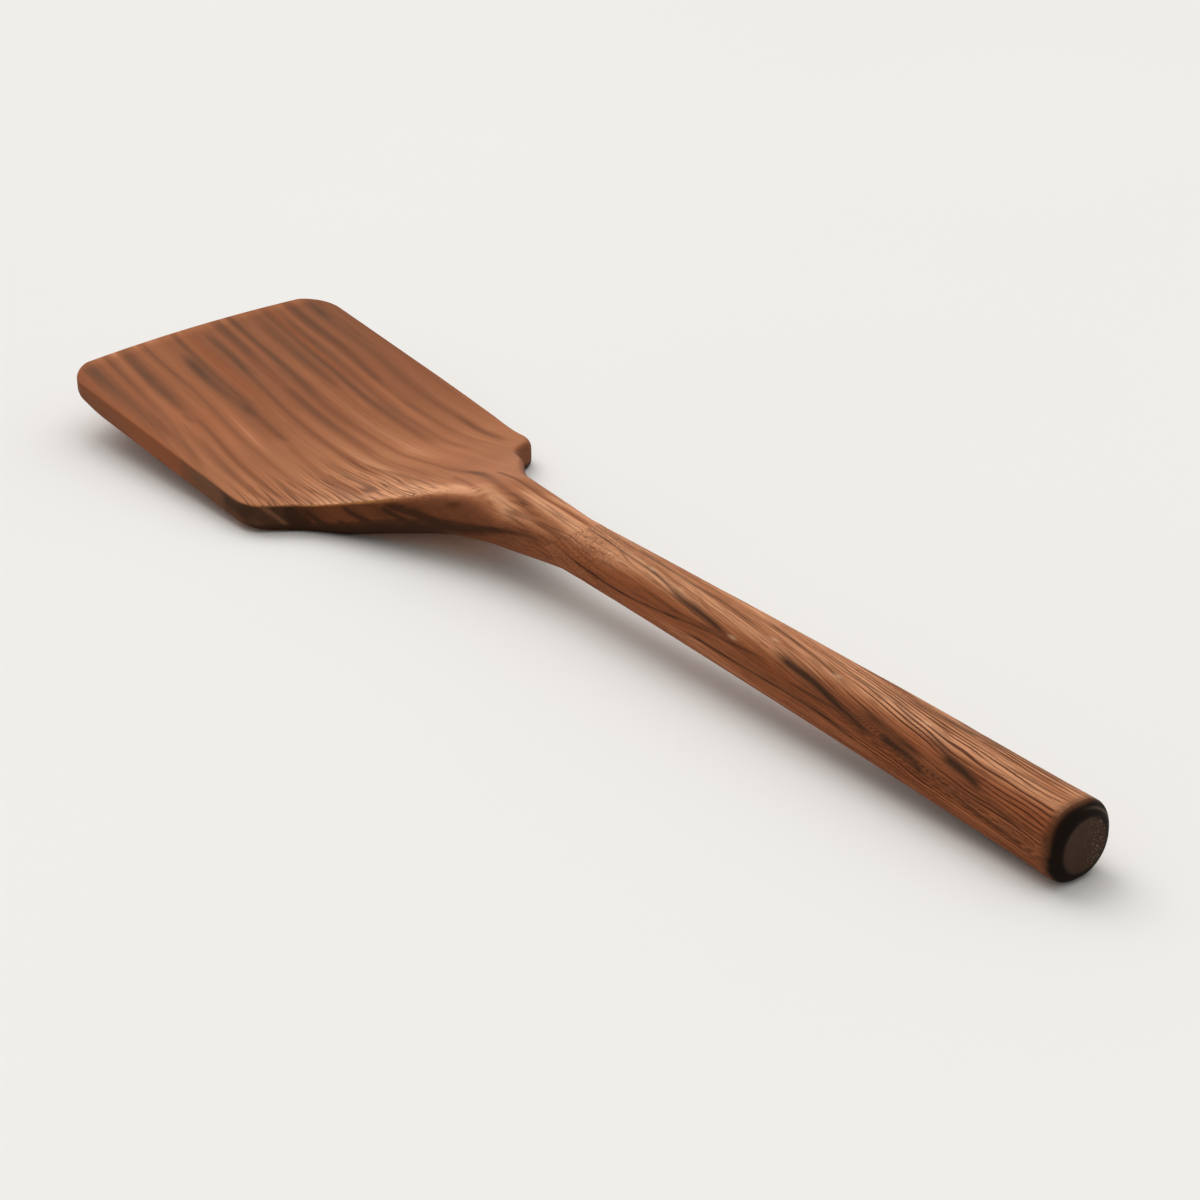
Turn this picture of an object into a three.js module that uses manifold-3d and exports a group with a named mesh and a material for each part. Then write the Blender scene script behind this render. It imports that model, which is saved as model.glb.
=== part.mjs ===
// A wooden turner: a flat blade with a cranked neck, a tapered handle keyed to the neck by a V joint with a
// hidden dowel, and a dark button cap plugged into the butt. It lies as it rests: on the heel of the blade and
// on the butt, with the blade's tip raised. Lengths are millimetres, +X runs to the butt, +Z is up.
import * as THREE from "three";
import { mergeVertices } from "three/addons/utils/BufferGeometryUtils.js";
import Module from "manifold-3d";

// Blade: a flat board that rises from its heel line (x = 0) to its tip
const BLADE_LENGTH = 104;
const BLADE_PITCH = THREE.MathUtils.degToRad(6.3);
const BLADE_THICKNESS = 5.6;
const TIP_THICKNESS = 3.0;
const TIP_BEVEL_LENGTH = 26;
const TIP_HALF_WIDTH = 42;
const SHOULDER_HALF_WIDTH = 40.2;
const TIP_CORNER_RADIUS = 10.5;
const TIP_EDGE_RADIUS = 0.9;
const SHOULDER_CORNER_RADIUS = 8.2;
const SHOULDER_CORNER_TURN = THREE.MathUtils.degToRad(50);
const SHOULDER_START_X = -11.4;

// The hand-cut outline is not quite square: the tip edge bows and slants, and one shoulder sits further back.
// Each offset along X is reached at this distance from the middle line.
const OFFSET_REACH = 40;
const TIP_BOW = 2.3;
const TIP_SLANT = 3.3;
const SHOULDER_SLANT = 4.6;

// Handle: a taper from the neck to the butt that bows and swells slightly, and touches the ground at the butt
const BUTT_X = 218.6;
const BUTT_RADIUS = 8.1;
const BUTT_HEIGHT = 7.941;
const HANDLE_START_X = 66;
const HANDLE_START_RADIUS = 6.05;
const HANDLE_START_HEIGHT = 13.9;
const HANDLE_CORNER_SHARE = 0.84;
const HANDLE_BOW = 0.6;
const HANDLE_BELLY = 0.08;

// Neck: half width, top and underside at chosen places along X, between the shoulder and the handle
const NECK_HALF_WIDTHS = [[-0.5, 30.2], [5, 26], [17, 19.4], [31, 12.6], [42, 8.9], [54, 7.3]];
const NECK_TOPS = [
  [-16, 7.45], [-8, 7.25], [-3, 7.5], [1, 8.2], [5, 9.25], [17, 13.1], [31, 17.8], [42, 20.35], [52, 20.65],
];
const NECK_UNDERSIDES = [[-2, 0], [2.5, 0], [8, 0.9], [16, 2.7], [33, 5.75], [50, 6.5], [58, 7.2]];
const PLANE_END_X = -20;

// The far side (+Y) of the shoulder and neck is cut fuller than the near one, and its upper edge is softer:
// added half width and added edge radius at chosen places along X.
const FAR_WIDENING = [[-5, 0], [3, 1.2], [10, 1.6], [20, 0.8], [34, 0.3], [48, 0.2], [62, 0]];
const FAR_SOFTENING = [[-46, 0], [-24, 0.8], [-13, 2], [0, 2], [12, 1.2], [30, 0]];

// Rounding of the upper and lower long edges, from crisp on the blade to soft on the neck
const UPPER_EDGE_RADII = [[-20, 0.7], [4, 0.9], [12, 1.2], [20, 2.6], [28, 4.6], [36, 6], [52, 6]];
const LOWER_EDGE_RADII = [[-20, 1.0], [-8, 1.4], [6, 4.0], [24, 5.2], [52, 5.6]];

// V joint between neck and handle, with its dowel
const JOINT_X = 62.5;
const JOINT_LEG = 10;
const JOINT_HALF_HEIGHT = 7;
const DOWEL_RADIUS = 2.5;
const DOWEL_START_X = 46;
const DOWEL_END_X = 84;

// Button cap on the butt
const CAP_THICKNESS = 2.5;
const CAP_RIM_RADIUS = 2.5;
const CAP_TENON_RADIUS = 3.5;
const CAP_TENON_LENGTH = 12;

const GLUE_GAP = 0.3;
const ROUND_SIDES = 24;
const CUTTER_SIZE = 120;

// Counts of the loft: points on half a section, and steps between stations
const SIDE_POINTS = 1;
const CORNER_POINTS = 4;
const FLAT_POINTS = 4;

const tipX = -BLADE_LENGTH * Math.cos(BLADE_PITCH);
const capX = BUTT_X - CAP_THICKNESS;

const lerp = THREE.MathUtils.lerp;
const smooth = THREE.MathUtils.smoothstep;

// A smooth curve through points [x, value], level beyond its ends, that never overshoots them.
function through(points, x) {
  const last = points.length - 1;
  if (x <= points[0][0]) return points[0][1];
  if (x >= points[last][0]) return points[last][1];
  const secant = (i) => (points[i + 1][1] - points[i][1]) / (points[i + 1][0] - points[i][0]);
  const slope = (i) => {
    if (i === 0) return secant(0);
    if (i === last) return secant(last - 1);
    const before = secant(i - 1);
    const after = secant(i);
    return before * after <= 0 ? 0 : (2 * before * after) / (before + after);
  };
  const i = points.findIndex((point) => point[0] > x) - 1;
  const span = points[i + 1][0] - points[i][0];
  const t = (x - points[i][0]) / span;
  const rise = points[i + 1][1] - points[i][1];
  const ease = t * t * (3 - 2 * t);
  const leave = t * (1 - t) * (1 - t) * slope(i);
  const arrive = t * t * (1 - t) * slope(i + 1);
  return points[i][1] + rise * ease + span * (leave - arrive);
}

// Share of the handle's length at x, and a hump that is 0 at both of its ends and 1 in its middle
const alongHandle = (x) => (x - HANDLE_START_X) / (BUTT_X - HANDLE_START_X);
const handleHump = (x) => Math.max(0, 4 * alongHandle(x) * (1 - alongHandle(x)));

// Radius and height of the handle's centre line at x
const handleRadius = (x) => lerp(HANDLE_START_RADIUS, BUTT_RADIUS, alongHandle(x)) + HANDLE_BELLY * handleHump(x);
const handleHeight = (x) => lerp(HANDLE_START_HEIGHT, BUTT_HEIGHT, alongHandle(x)) + HANDLE_BOW * handleHump(x);

// Half of the outline's width at x: rounded tip corner, side, rounded shoulder, neck funnel, handle.
function halfWidth(x) {
  const shoulderEndX = SHOULDER_START_X + SHOULDER_CORNER_RADIUS * Math.sin(SHOULDER_CORNER_TURN);
  const shoulderEnd = SHOULDER_HALF_WIDTH - SHOULDER_CORNER_RADIUS * (1 - Math.cos(SHOULDER_CORNER_TURN));
  const fromTip = x - tipX;
  const side = lerp(TIP_HALF_WIDTH, SHOULDER_HALF_WIDTH, fromTip / (SHOULDER_START_X - tipX));
  if (fromTip < TIP_CORNER_RADIUS) {
    const inward = TIP_CORNER_RADIUS - fromTip;
    return side - TIP_CORNER_RADIUS + Math.sqrt(TIP_CORNER_RADIUS ** 2 - inward ** 2);
  }
  if (x < SHOULDER_START_X) return side;
  if (x < shoulderEndX) {
    const along = x - SHOULDER_START_X;
    const drop = SHOULDER_CORNER_RADIUS - Math.sqrt(SHOULDER_CORNER_RADIUS ** 2 - along ** 2);
    return SHOULDER_HALF_WIDTH - drop;
  }
  if (x > HANDLE_START_X) return handleRadius(x);
  const funnel = [[shoulderEndX, shoulderEnd], ...NECK_HALF_WIDTHS, [HANDLE_START_X, HANDLE_START_RADIUS]];
  return through(funnel, x);
}

// Height of the upper face at x: the blade's plane, the crank of the neck, the handle.
function topHeight(x) {
  const plane = (at) => BLADE_THICKNESS / Math.cos(BLADE_PITCH) - at * Math.tan(BLADE_PITCH);
  if (x <= PLANE_END_X) return plane(x);
  if (x > HANDLE_START_X) return handleHeight(x) + handleRadius(x);
  const handleTop = HANDLE_START_HEIGHT + HANDLE_START_RADIUS;
  return through([[PLANE_END_X, plane(PLANE_END_X)], ...NECK_TOPS, [HANDLE_START_X, handleTop]], x);
}

// Height of the underside at x, with the bevel that thins the blade towards its tip.
function undersideHeight(x) {
  const plane = (at) => -at * Math.tan(BLADE_PITCH);
  const bevel = 1 - smooth(x, tipX, tipX + TIP_BEVEL_LENGTH);
  if (x <= PLANE_END_X) return plane(x) + bevel * (BLADE_THICKNESS - TIP_THICKNESS);
  if (x > HANDLE_START_X) return handleHeight(x) - handleRadius(x);
  const handleBottom = HANDLE_START_HEIGHT - HANDLE_START_RADIUS;
  const underside = [[PLANE_END_X, plane(PLANE_END_X)], ...NECK_UNDERSIDES, [HANDLE_START_X, handleBottom]];
  return through(underside, x);
}

// Radius of a long edge at x, from the given list up to the handle.
function edgeRadius(radii, x) {
  if (x > HANDLE_START_X) return HANDLE_CORNER_SHARE * handleRadius(x);
  return through([...radii, [HANDLE_START_X, HANDLE_CORNER_SHARE * HANDLE_START_RADIUS]], x);
}

// Where a point of the square outline lies along X on the hand-cut one.
function handCut(x, y) {
  const nearTip = 1 - smooth(x, tipX, tipX / 2);
  const nearShoulder = smooth(x, -60, -20) * (1 - smooth(x, 12, 45));
  const reach = y / OFFSET_REACH;
  return x + nearTip * (TIP_BOW * reach ** 2 - TIP_SLANT * reach) + nearShoulder * SHOULDER_SLANT * reach;
}

// How far a section is drawn in at x by the rounding of the tip edge and of the cap's rim.
function endInset(x) {
  const roundedBy = (radius, depth) => {
    if (depth >= radius) return 0;
    return radius - Math.sqrt(radius ** 2 - (radius - depth) ** 2);
  };
  return roundedBy(TIP_EDGE_RADIUS, x - tipX) + roundedBy(CAP_RIM_RADIUS, BUTT_X - x);
}

// Half of a section's upper or lower edge, from the middle of its side to the middle line, as [y, z] points.
function halfChain(width, level, face, radius) {
  const turn = Math.sign(face - level) * radius;
  const points = [];
  for (let i = 0; i < SIDE_POINTS; i++) {
    points.push([-width, lerp(level, face - turn, i / SIDE_POINTS)]);
  }
  for (let i = 0; i < CORNER_POINTS; i++) {
    const angle = (i / CORNER_POINTS) * (Math.PI / 2);
    points.push([-width + radius * (1 - Math.cos(angle)), face - turn * (1 - Math.sin(angle))]);
  }
  for (let i = 0; i <= FLAT_POINTS; i++) {
    points.push([lerp(radius - width, 0, i / FLAT_POINTS), face]);
  }
  return points;
}

// A chain from the near side over the middle line to the far side, which is stretched outwards.
function fullChain(width, level, face, nearRadius, farRadius, stretch) {
  const near = halfChain(width, level, face, nearRadius);
  const far = halfChain(width, level, face, farRadius);
  const mirrored = far.slice(0, -1).reverse().map(([y, z]) => [-y * stretch, z]);
  return [...near, ...mirrored];
}

// The closed section at x as points in space, over the top and back along the underside.
function section(x) {
  const inset = endInset(x);
  const top = topHeight(x) - inset;
  const underside = undersideHeight(x) + inset;
  const width = halfWidth(x) - inset;
  const most = 0.49 * Math.min(2 * width, top - underside);
  const upper = Math.min(most, edgeRadius(UPPER_EDGE_RADII, x));
  const lower = Math.min(most, edgeRadius(LOWER_EDGE_RADII, x));
  const soft = Math.min(most, upper + through(FAR_SOFTENING, x));
  const stretch = 1 + through(FAR_WIDENING, x) / width;
  const level = (top - upper + underside + lower) / 2;
  const over = fullChain(width, level, top, upper, soft, stretch);
  const under = fullChain(width, level, underside, lower, lower, stretch).slice(1, -1).reverse();
  const low = undersideHeight(x);
  const high = topHeight(x);
  return [...over, ...under].map(([y, z]) => {
    const cutX = handCut(x, y);
    const share = (z - low) / (high - low);
    return new THREE.Vector3(cutX, y, lerp(undersideHeight(cutX), topHeight(cutX), share));
  });
}

// Evenly spaced places from a to b.
const steps = (a, b, count) => Array.from({ length: count + 1 }, (_, i) => lerp(a, b, i / count));

// Places along X where the loft has a section, close together where the shape turns.
function stations() {
  const quarter = steps(0, Math.PI / 2, 5);
  const tipEdge = quarter.map((angle) => tipX + TIP_EDGE_RADIUS * (1 - Math.cos(angle)));
  const tipCorner = quarter.map((angle) => tipX + TIP_CORNER_RADIUS * (1 - Math.cos(angle)));
  const bevel = steps(tipX + TIP_CORNER_RADIUS, tipX + TIP_BEVEL_LENGTH, 4);
  const face = steps(tipX + TIP_BEVEL_LENGTH, PLANE_END_X, 3);
  const hollow = steps(PLANE_END_X, SHOULDER_START_X, 3);
  const shoulder = steps(0, SHOULDER_CORNER_TURN, 5).map(
    (angle) => SHOULDER_START_X + SHOULDER_CORNER_RADIUS * Math.sin(angle),
  );
  const neck = steps(shoulder.at(-1), HANDLE_START_X, 24);
  const handle = steps(HANDLE_START_X, BUTT_X - CAP_RIM_RADIUS, 8);
  const rim = quarter.map((angle) => BUTT_X - CAP_RIM_RADIUS * (1 - Math.sin(angle)));
  const parts = [tipEdge, tipCorner, bevel, face, hollow, shoulder, neck, handle, rim];
  const all = parts.flat().sort((a, b) => a - b);
  return all.filter((x, i) => i === 0 || x - all[i - 1] > 0.02);
}

// The whole outer form, from the blade's tip to the butt, as one closed surface.
function outerForm() {
  const rings = stations().map(section);
  const count = rings[0].length;
  const triangles = [];
  const triangle = (a, b, c) => {
    if (a !== b && b !== c && c !== a) triangles.push(a, b, c);
  };
  const quad = (a, b, c, d) => {
    triangle(a, b, c);
    triangle(a, c, d);
  };
  for (let r = 0; r + 1 < rings.length; r++) {
    for (let k = 0; k < count; k++) {
      const next = (k + 1) % count;
      quad(r * count + k, (r + 1) * count + k, (r + 1) * count + next, r * count + next);
    }
  }
  const closeEnd = (ring, place) => {
    const across = (k) => ring * count + ((count - k) % count);
    for (let k = 0; k < count / 2; k++) {
      place(ring * count + k, ring * count + k + 1, across(k + 1), across(k));
    }
  };
  closeEnd(0, quad);
  closeEnd(rings.length - 1, (a, b, c, d) => quad(d, c, b, a));
  const geometry = new THREE.BufferGeometry().setFromPoints(rings.flat());
  return geometry.setIndex(triangles);
}

const wasm = await Module();
wasm.setup();

// A closed geometry as a solid that can be cut and joined.
function toSolid(geometry) {
  const bare = geometry.clone();
  bare.deleteAttribute("normal");
  bare.deleteAttribute("uv");
  const merged = mergeVertices(bare, 1e-4);
  const mesh = new wasm.Mesh({
    numProp: 3,
    vertProperties: merged.getAttribute("position").array,
    triVerts: new Uint32Array(merged.index.array),
  });
  return new wasm.Manifold(mesh);
}

// A solid as a geometry.
function toGeometry(solid) {
  const mesh = solid.getMesh();
  const geometry = new THREE.BufferGeometry();
  geometry.setAttribute("position", new THREE.BufferAttribute(mesh.vertProperties, 3));
  geometry.setIndex(new THREE.BufferAttribute(mesh.triVerts, 1));
  geometry.computeVertexNormals();
  return geometry;
}

// A round rod along the handle's centre line, between two places along X.
function rod(radius, startX, endX) {
  const start = new THREE.Vector3(startX, 0, handleHeight(startX));
  const end = new THREE.Vector3(endX, 0, handleHeight(endX));
  const along = end.clone().sub(start);
  const turn = new THREE.Quaternion().setFromUnitVectors(new THREE.Vector3(0, 1, 0), along.clone().normalize());
  const geometry = new THREE.CylinderGeometry(radius, radius, along.length(), ROUND_SIDES);
  geometry.applyQuaternion(turn);
  const middle = start.add(end).divideScalar(2);
  return geometry.translate(middle.x, middle.y, middle.z);
}

// All space beyond the V joint, whose point faces the blade, with the joint moved along X by an offset.
function beyondJoint(offset) {
  const middle = handleHeight(JOINT_X);
  const slope = JOINT_LEG / JOINT_HALF_HEIGHT;
  const reach = CUTTER_SIZE / 2;
  const pointX = JOINT_X + offset;
  const outline = new THREE.Shape();
  outline.moveTo(pointX, middle);
  outline.lineTo(pointX + slope * reach, middle - reach);
  outline.lineTo(BUTT_X + CUTTER_SIZE, middle - reach);
  outline.lineTo(BUTT_X + CUTTER_SIZE, middle + reach);
  outline.lineTo(pointX + slope * reach, middle + reach);
  outline.closePath();
  const block = new THREE.ExtrudeGeometry(outline, { depth: CUTTER_SIZE, bevelEnabled: false });
  return block.translate(0, 0, -CUTTER_SIZE / 2).rotateX(Math.PI / 2);
}

// All space beyond a plane across the handle.
function beyondPlane(x) {
  const block = new THREE.BoxGeometry(CUTTER_SIZE, CUTTER_SIZE, CUTTER_SIZE);
  return block.translate(x + CUTTER_SIZE / 2, 0, 0);
}

const whole = toSolid(outerForm());
// The gap is measured square to the joint's slanted faces.
const jointGapX = GLUE_GAP / Math.sin(Math.atan2(JOINT_HALF_HEIGHT, JOINT_LEG));
const dowelBore = toSolid(rod(DOWEL_RADIUS + GLUE_GAP, DOWEL_START_X - GLUE_GAP, DOWEL_END_X + GLUE_GAP));
const tenonEndX = capX - CAP_TENON_LENGTH;

// Blade with its shoulders and cranked neck, notched and bored for the handle
function bladeGeometry() {
  return toGeometry(whole.subtract(toSolid(beyondJoint(-jointGapX))).subtract(dowelBore));
}

// Handle with its wedge end, bored for the dowel at the neck and for the cap's tenon at the butt
function handleGeometry() {
  const tenonBore = toSolid(rod(CAP_TENON_RADIUS + GLUE_GAP, tenonEndX - GLUE_GAP, capX + GLUE_GAP));
  const stick = whole.intersect(toSolid(beyondJoint(0))).subtract(toSolid(beyondPlane(capX)));
  return toGeometry(stick.subtract(dowelBore).subtract(tenonBore));
}

// Button cap with its rounded rim and the tenon that is glued into the butt
function capGeometry() {
  const button = whole.intersect(toSolid(beyondPlane(capX + GLUE_GAP)));
  const tenon = toSolid(rod(CAP_TENON_RADIUS, tenonEndX, capX + CAP_THICKNESS / 2));
  return toGeometry(button.add(tenon));
}

// Oiled open-grained wood of the blade
function bladeWood() {
  return new THREE.MeshStandardMaterial({ color: 0x8f5836, roughness: 0.55, metalness: 0 });
}

// The same wood on the handle, redder where it is brushed and handled
function handleWood() {
  return new THREE.MeshStandardMaterial({ color: 0x85492c, roughness: 0.6, metalness: 0 });
}

// Near-black dense wood of the cap
function capWood() {
  return new THREE.MeshStandardMaterial({ color: 0x2b1e17, roughness: 0.5, metalness: 0 });
}

// Pale plain wood of the dowel
function dowelWood() {
  return new THREE.MeshStandardMaterial({ color: 0xc8a06c, roughness: 0.7, metalness: 0 });
}

function piece(name, geometry, material) {
  const mesh = new THREE.Mesh(geometry, material);
  mesh.name = name;
  return mesh;
}

// The pieces share the heel's frame, and the assembly is moved so that the origin is under its middle.
const assembly = new THREE.Group();
assembly.add(piece("blade", bladeGeometry(), bladeWood()));
assembly.add(piece("handle", handleGeometry(), handleWood()));
assembly.add(piece("neck_dowel", rod(DOWEL_RADIUS, DOWEL_START_X, DOWEL_END_X), dowelWood()));
assembly.add(piece("end_cap", capGeometry(), capWood()));
const box = new THREE.Box3().setFromObject(assembly);
assembly.position.set(-(box.min.x + box.max.x) / 2, 0, -box.min.z);

const spatula = new THREE.Group();
spatula.add(assembly);

export default spatula;
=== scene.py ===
"""Looks of a wooden turner: blade, handle, end cap and neck dowel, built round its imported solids."""

from __future__ import annotations

import logging
import math
from dataclasses import dataclass, field
from enum import Enum

import bpy
import numpy as np
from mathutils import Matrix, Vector

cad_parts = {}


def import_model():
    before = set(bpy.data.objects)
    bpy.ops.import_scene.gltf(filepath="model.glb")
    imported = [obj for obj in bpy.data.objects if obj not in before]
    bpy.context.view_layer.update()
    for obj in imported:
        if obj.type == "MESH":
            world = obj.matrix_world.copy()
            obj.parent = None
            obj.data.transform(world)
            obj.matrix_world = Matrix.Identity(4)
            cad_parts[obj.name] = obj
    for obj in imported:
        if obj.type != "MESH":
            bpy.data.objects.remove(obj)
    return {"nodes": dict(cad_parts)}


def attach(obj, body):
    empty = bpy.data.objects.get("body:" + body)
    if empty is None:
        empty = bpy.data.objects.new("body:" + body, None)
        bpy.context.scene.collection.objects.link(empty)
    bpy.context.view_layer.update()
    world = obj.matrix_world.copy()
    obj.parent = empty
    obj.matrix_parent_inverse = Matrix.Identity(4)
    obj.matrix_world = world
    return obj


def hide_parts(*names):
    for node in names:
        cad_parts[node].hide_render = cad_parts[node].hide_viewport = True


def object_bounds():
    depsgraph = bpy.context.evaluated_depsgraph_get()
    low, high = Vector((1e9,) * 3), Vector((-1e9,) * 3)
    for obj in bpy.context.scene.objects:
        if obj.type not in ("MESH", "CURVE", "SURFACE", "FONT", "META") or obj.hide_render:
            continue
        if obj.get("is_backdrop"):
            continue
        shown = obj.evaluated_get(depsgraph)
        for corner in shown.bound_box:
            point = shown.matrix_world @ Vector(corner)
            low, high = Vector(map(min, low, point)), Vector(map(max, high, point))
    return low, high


LOG = logging.getLogger("turner")
MM = 0.001
BODY = "root"
SHORTEST = 1e-9

Array = np.ndarray
Range = tuple[float, float]
Point = tuple[float, float, float]
Knots = tuple[Range, ...]
Colour = tuple[float, float, float, float]
Stops = tuple[tuple[float, Colour], ...]
Socket = bpy.types.NodeSocket
Given = Socket | float | Point | Colour


def smooth(low: float, high: float, x: Array | float) -> Array:
    """Eases from 0 at low to 1 at high.

    Args:
        low: where the ease starts.
        high: where the ease ends.
        x: places to measure at.

    Returns:
        The eased share at each place.
    """
    t = np.clip((np.asarray(x, float) - low) / (high - low), 0.0, 1.0)
    return t * t * (3.0 - 2.0 * t)


def through(knots: Knots, x: Array | float) -> Array:
    """Draws a curve through knots that never overshoots them.

    Args:
        knots: places and values, in rising order of place.
        x: places to measure at.

    Returns:
        The curve's value at each place, held level beyond both ends.
    """
    places = np.array([knot[0] for knot in knots], float)
    values = np.array([knot[1] for knot in knots], float)
    secant = np.diff(values) / np.diff(places)
    slope = np.empty(len(places))
    slope[0], slope[-1] = secant[0], secant[-1]
    product = secant[:-1] * secant[1:]
    total = secant[:-1] + secant[1:]
    bends = product > 0
    slope[1:-1] = np.where(bends, 2 * product / np.where(bends, total, 1), 0)
    at = np.clip(np.asarray(x, float), places[0], places[-1])
    i = np.clip(np.searchsorted(places, at, side="right") - 1, 0, len(places) - 2)
    span = places[i + 1] - places[i]
    t = (at - places[i]) / span
    ease = t * t * (3 - 2 * t)
    bend = t * (1 - t) * ((1 - t) * slope[i] - t * slope[i + 1])
    return values[i] + (values[i + 1] - values[i]) * ease + span * bend


@dataclass(frozen=True)
class Zone:
    """Stretch that eases in over one range and out over another, open where a range is missing."""

    rise: Range | None = None
    fall: Range | None = None

    def at(self, x: Array | float) -> Array:
        """Measures the zone.

        Args:
            x: places to measure at.

        Returns:
            1 inside the zone and 0 outside it.
        """
        share = np.ones_like(np.asarray(x, float))
        if self.rise is not None:
            share = share * smooth(*self.rise, x)
        if self.fall is not None:
            share = share * (1 - smooth(*self.fall, x))
        return share


@dataclass(frozen=True)
class Shade:
    """Broad part of a piece that is lifted or lowered, by its zones along and across the grain."""

    lift: float
    along: Zone
    across: Zone = Zone()

    def at(self, along: Array, across: Array | float = 0.0) -> Array:
        """The lift at each place."""
        return self.lift * self.along.at(along) * self.across.at(across)


def paint(red: float, green: float, blue: float) -> Colour:
    """Mixes a paint from screen values.

    Args:
        red: red, 0 to 255.
        green: green, 0 to 255.
        blue: blue, 0 to 255.

    Returns:
        The same colour in linear light, with full cover.
    """
    def linear(value: float) -> float:
        """One channel in linear light."""
        share = value / 255
        return share / 12.92 if share <= 0.04045 else ((share + 0.055) / 1.055) ** 2.4

    return (linear(red), linear(green), linear(blue), 1.0)


def put_in_scene(name: str, data: bpy.types.ID) -> bpy.types.Object:
    """Puts a new thing into the scene.

    Args:
        name: its name.
        data: its mesh, lamp or camera.

    Returns:
        The new object.
    """
    thing = bpy.data.objects.new(name, data)
    bpy.context.scene.collection.objects.link(thing)
    return thing


class GrainNoise:
    """Smooth seeded noise for wood that varies slowly along and across its grain."""

    CELLS = 256

    def __init__(self, seed: int) -> None:
        """Draws the lattice from a seed."""
        self.values = np.random.default_rng(seed).uniform(-1, 1, (self.CELLS, self.CELLS))

    def at(self, along: Array, across: Array, wrap: int = CELLS) -> Array:
        """Reads the noise.

        Args:
            along: places along the grain, in cells.
            across: places across the grain, in cells.
            wrap: cells across after which the noise repeats.

        Returns:
            Values from -1 to 1.
        """
        along, across = np.broadcast_arrays(along, across)
        i, j = np.floor(along).astype(int), np.floor(across).astype(int)
        a, b = smooth(0, 1, along - i), smooth(0, 1, across - j)
        left, right = i % self.CELLS, (i + 1) % self.CELLS
        near, far = j % wrap, (j + 1) % wrap
        low = self.values[left, near] * (1 - a) + self.values[right, near] * a
        high = self.values[left, far] * (1 - a) + self.values[right, far] * a
        return low * (1 - b) + high * b


@dataclass(frozen=True)
class Waver:
    """Slow change of a board's wood: its seed, the size of its cells and how much it changes."""

    seed: int
    length: float
    width: float
    amount: float
    start: Range = (30.0, 30.0)
    ceiling: float = 1.0

    def at(self, along: Array, across: Array) -> Array:
        """The change at each place, about 0."""
        cell, row = along / self.length + self.start[0], across / self.width + self.start[1]
        return self.amount * np.minimum(GrainNoise(self.seed).at(cell, row), self.ceiling)


@dataclass(frozen=True)
class RoundWaver:
    """Slow change of a stick's wood, with a whole number of cells round it."""

    seed: int
    length: float
    cells: int
    amount: float
    start: float = 20.0

    def at(self, along: Array, turn: Array) -> Array:
        """The change at each place, by its share of the girth."""
        cell = along / self.length + self.start
        return self.amount * GrainNoise(self.seed).at(cell, turn * self.cells, self.cells)


@dataclass(frozen=True)
class SectionCount:
    """How many points a cross-section has on each part of one quarter."""

    side: int
    corner: int
    flat: int

    @property
    def total(self) -> int:
        """All points of one closed section."""
        return 4 * (self.side + self.corner + self.flat)

    @property
    def half(self) -> int:
        """Place of the far side's middle in a section that starts at the near side's middle."""
        return self.total // 2


ROUND_COUNT = SectionCount(side=6, corner=64, flat=14)


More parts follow.
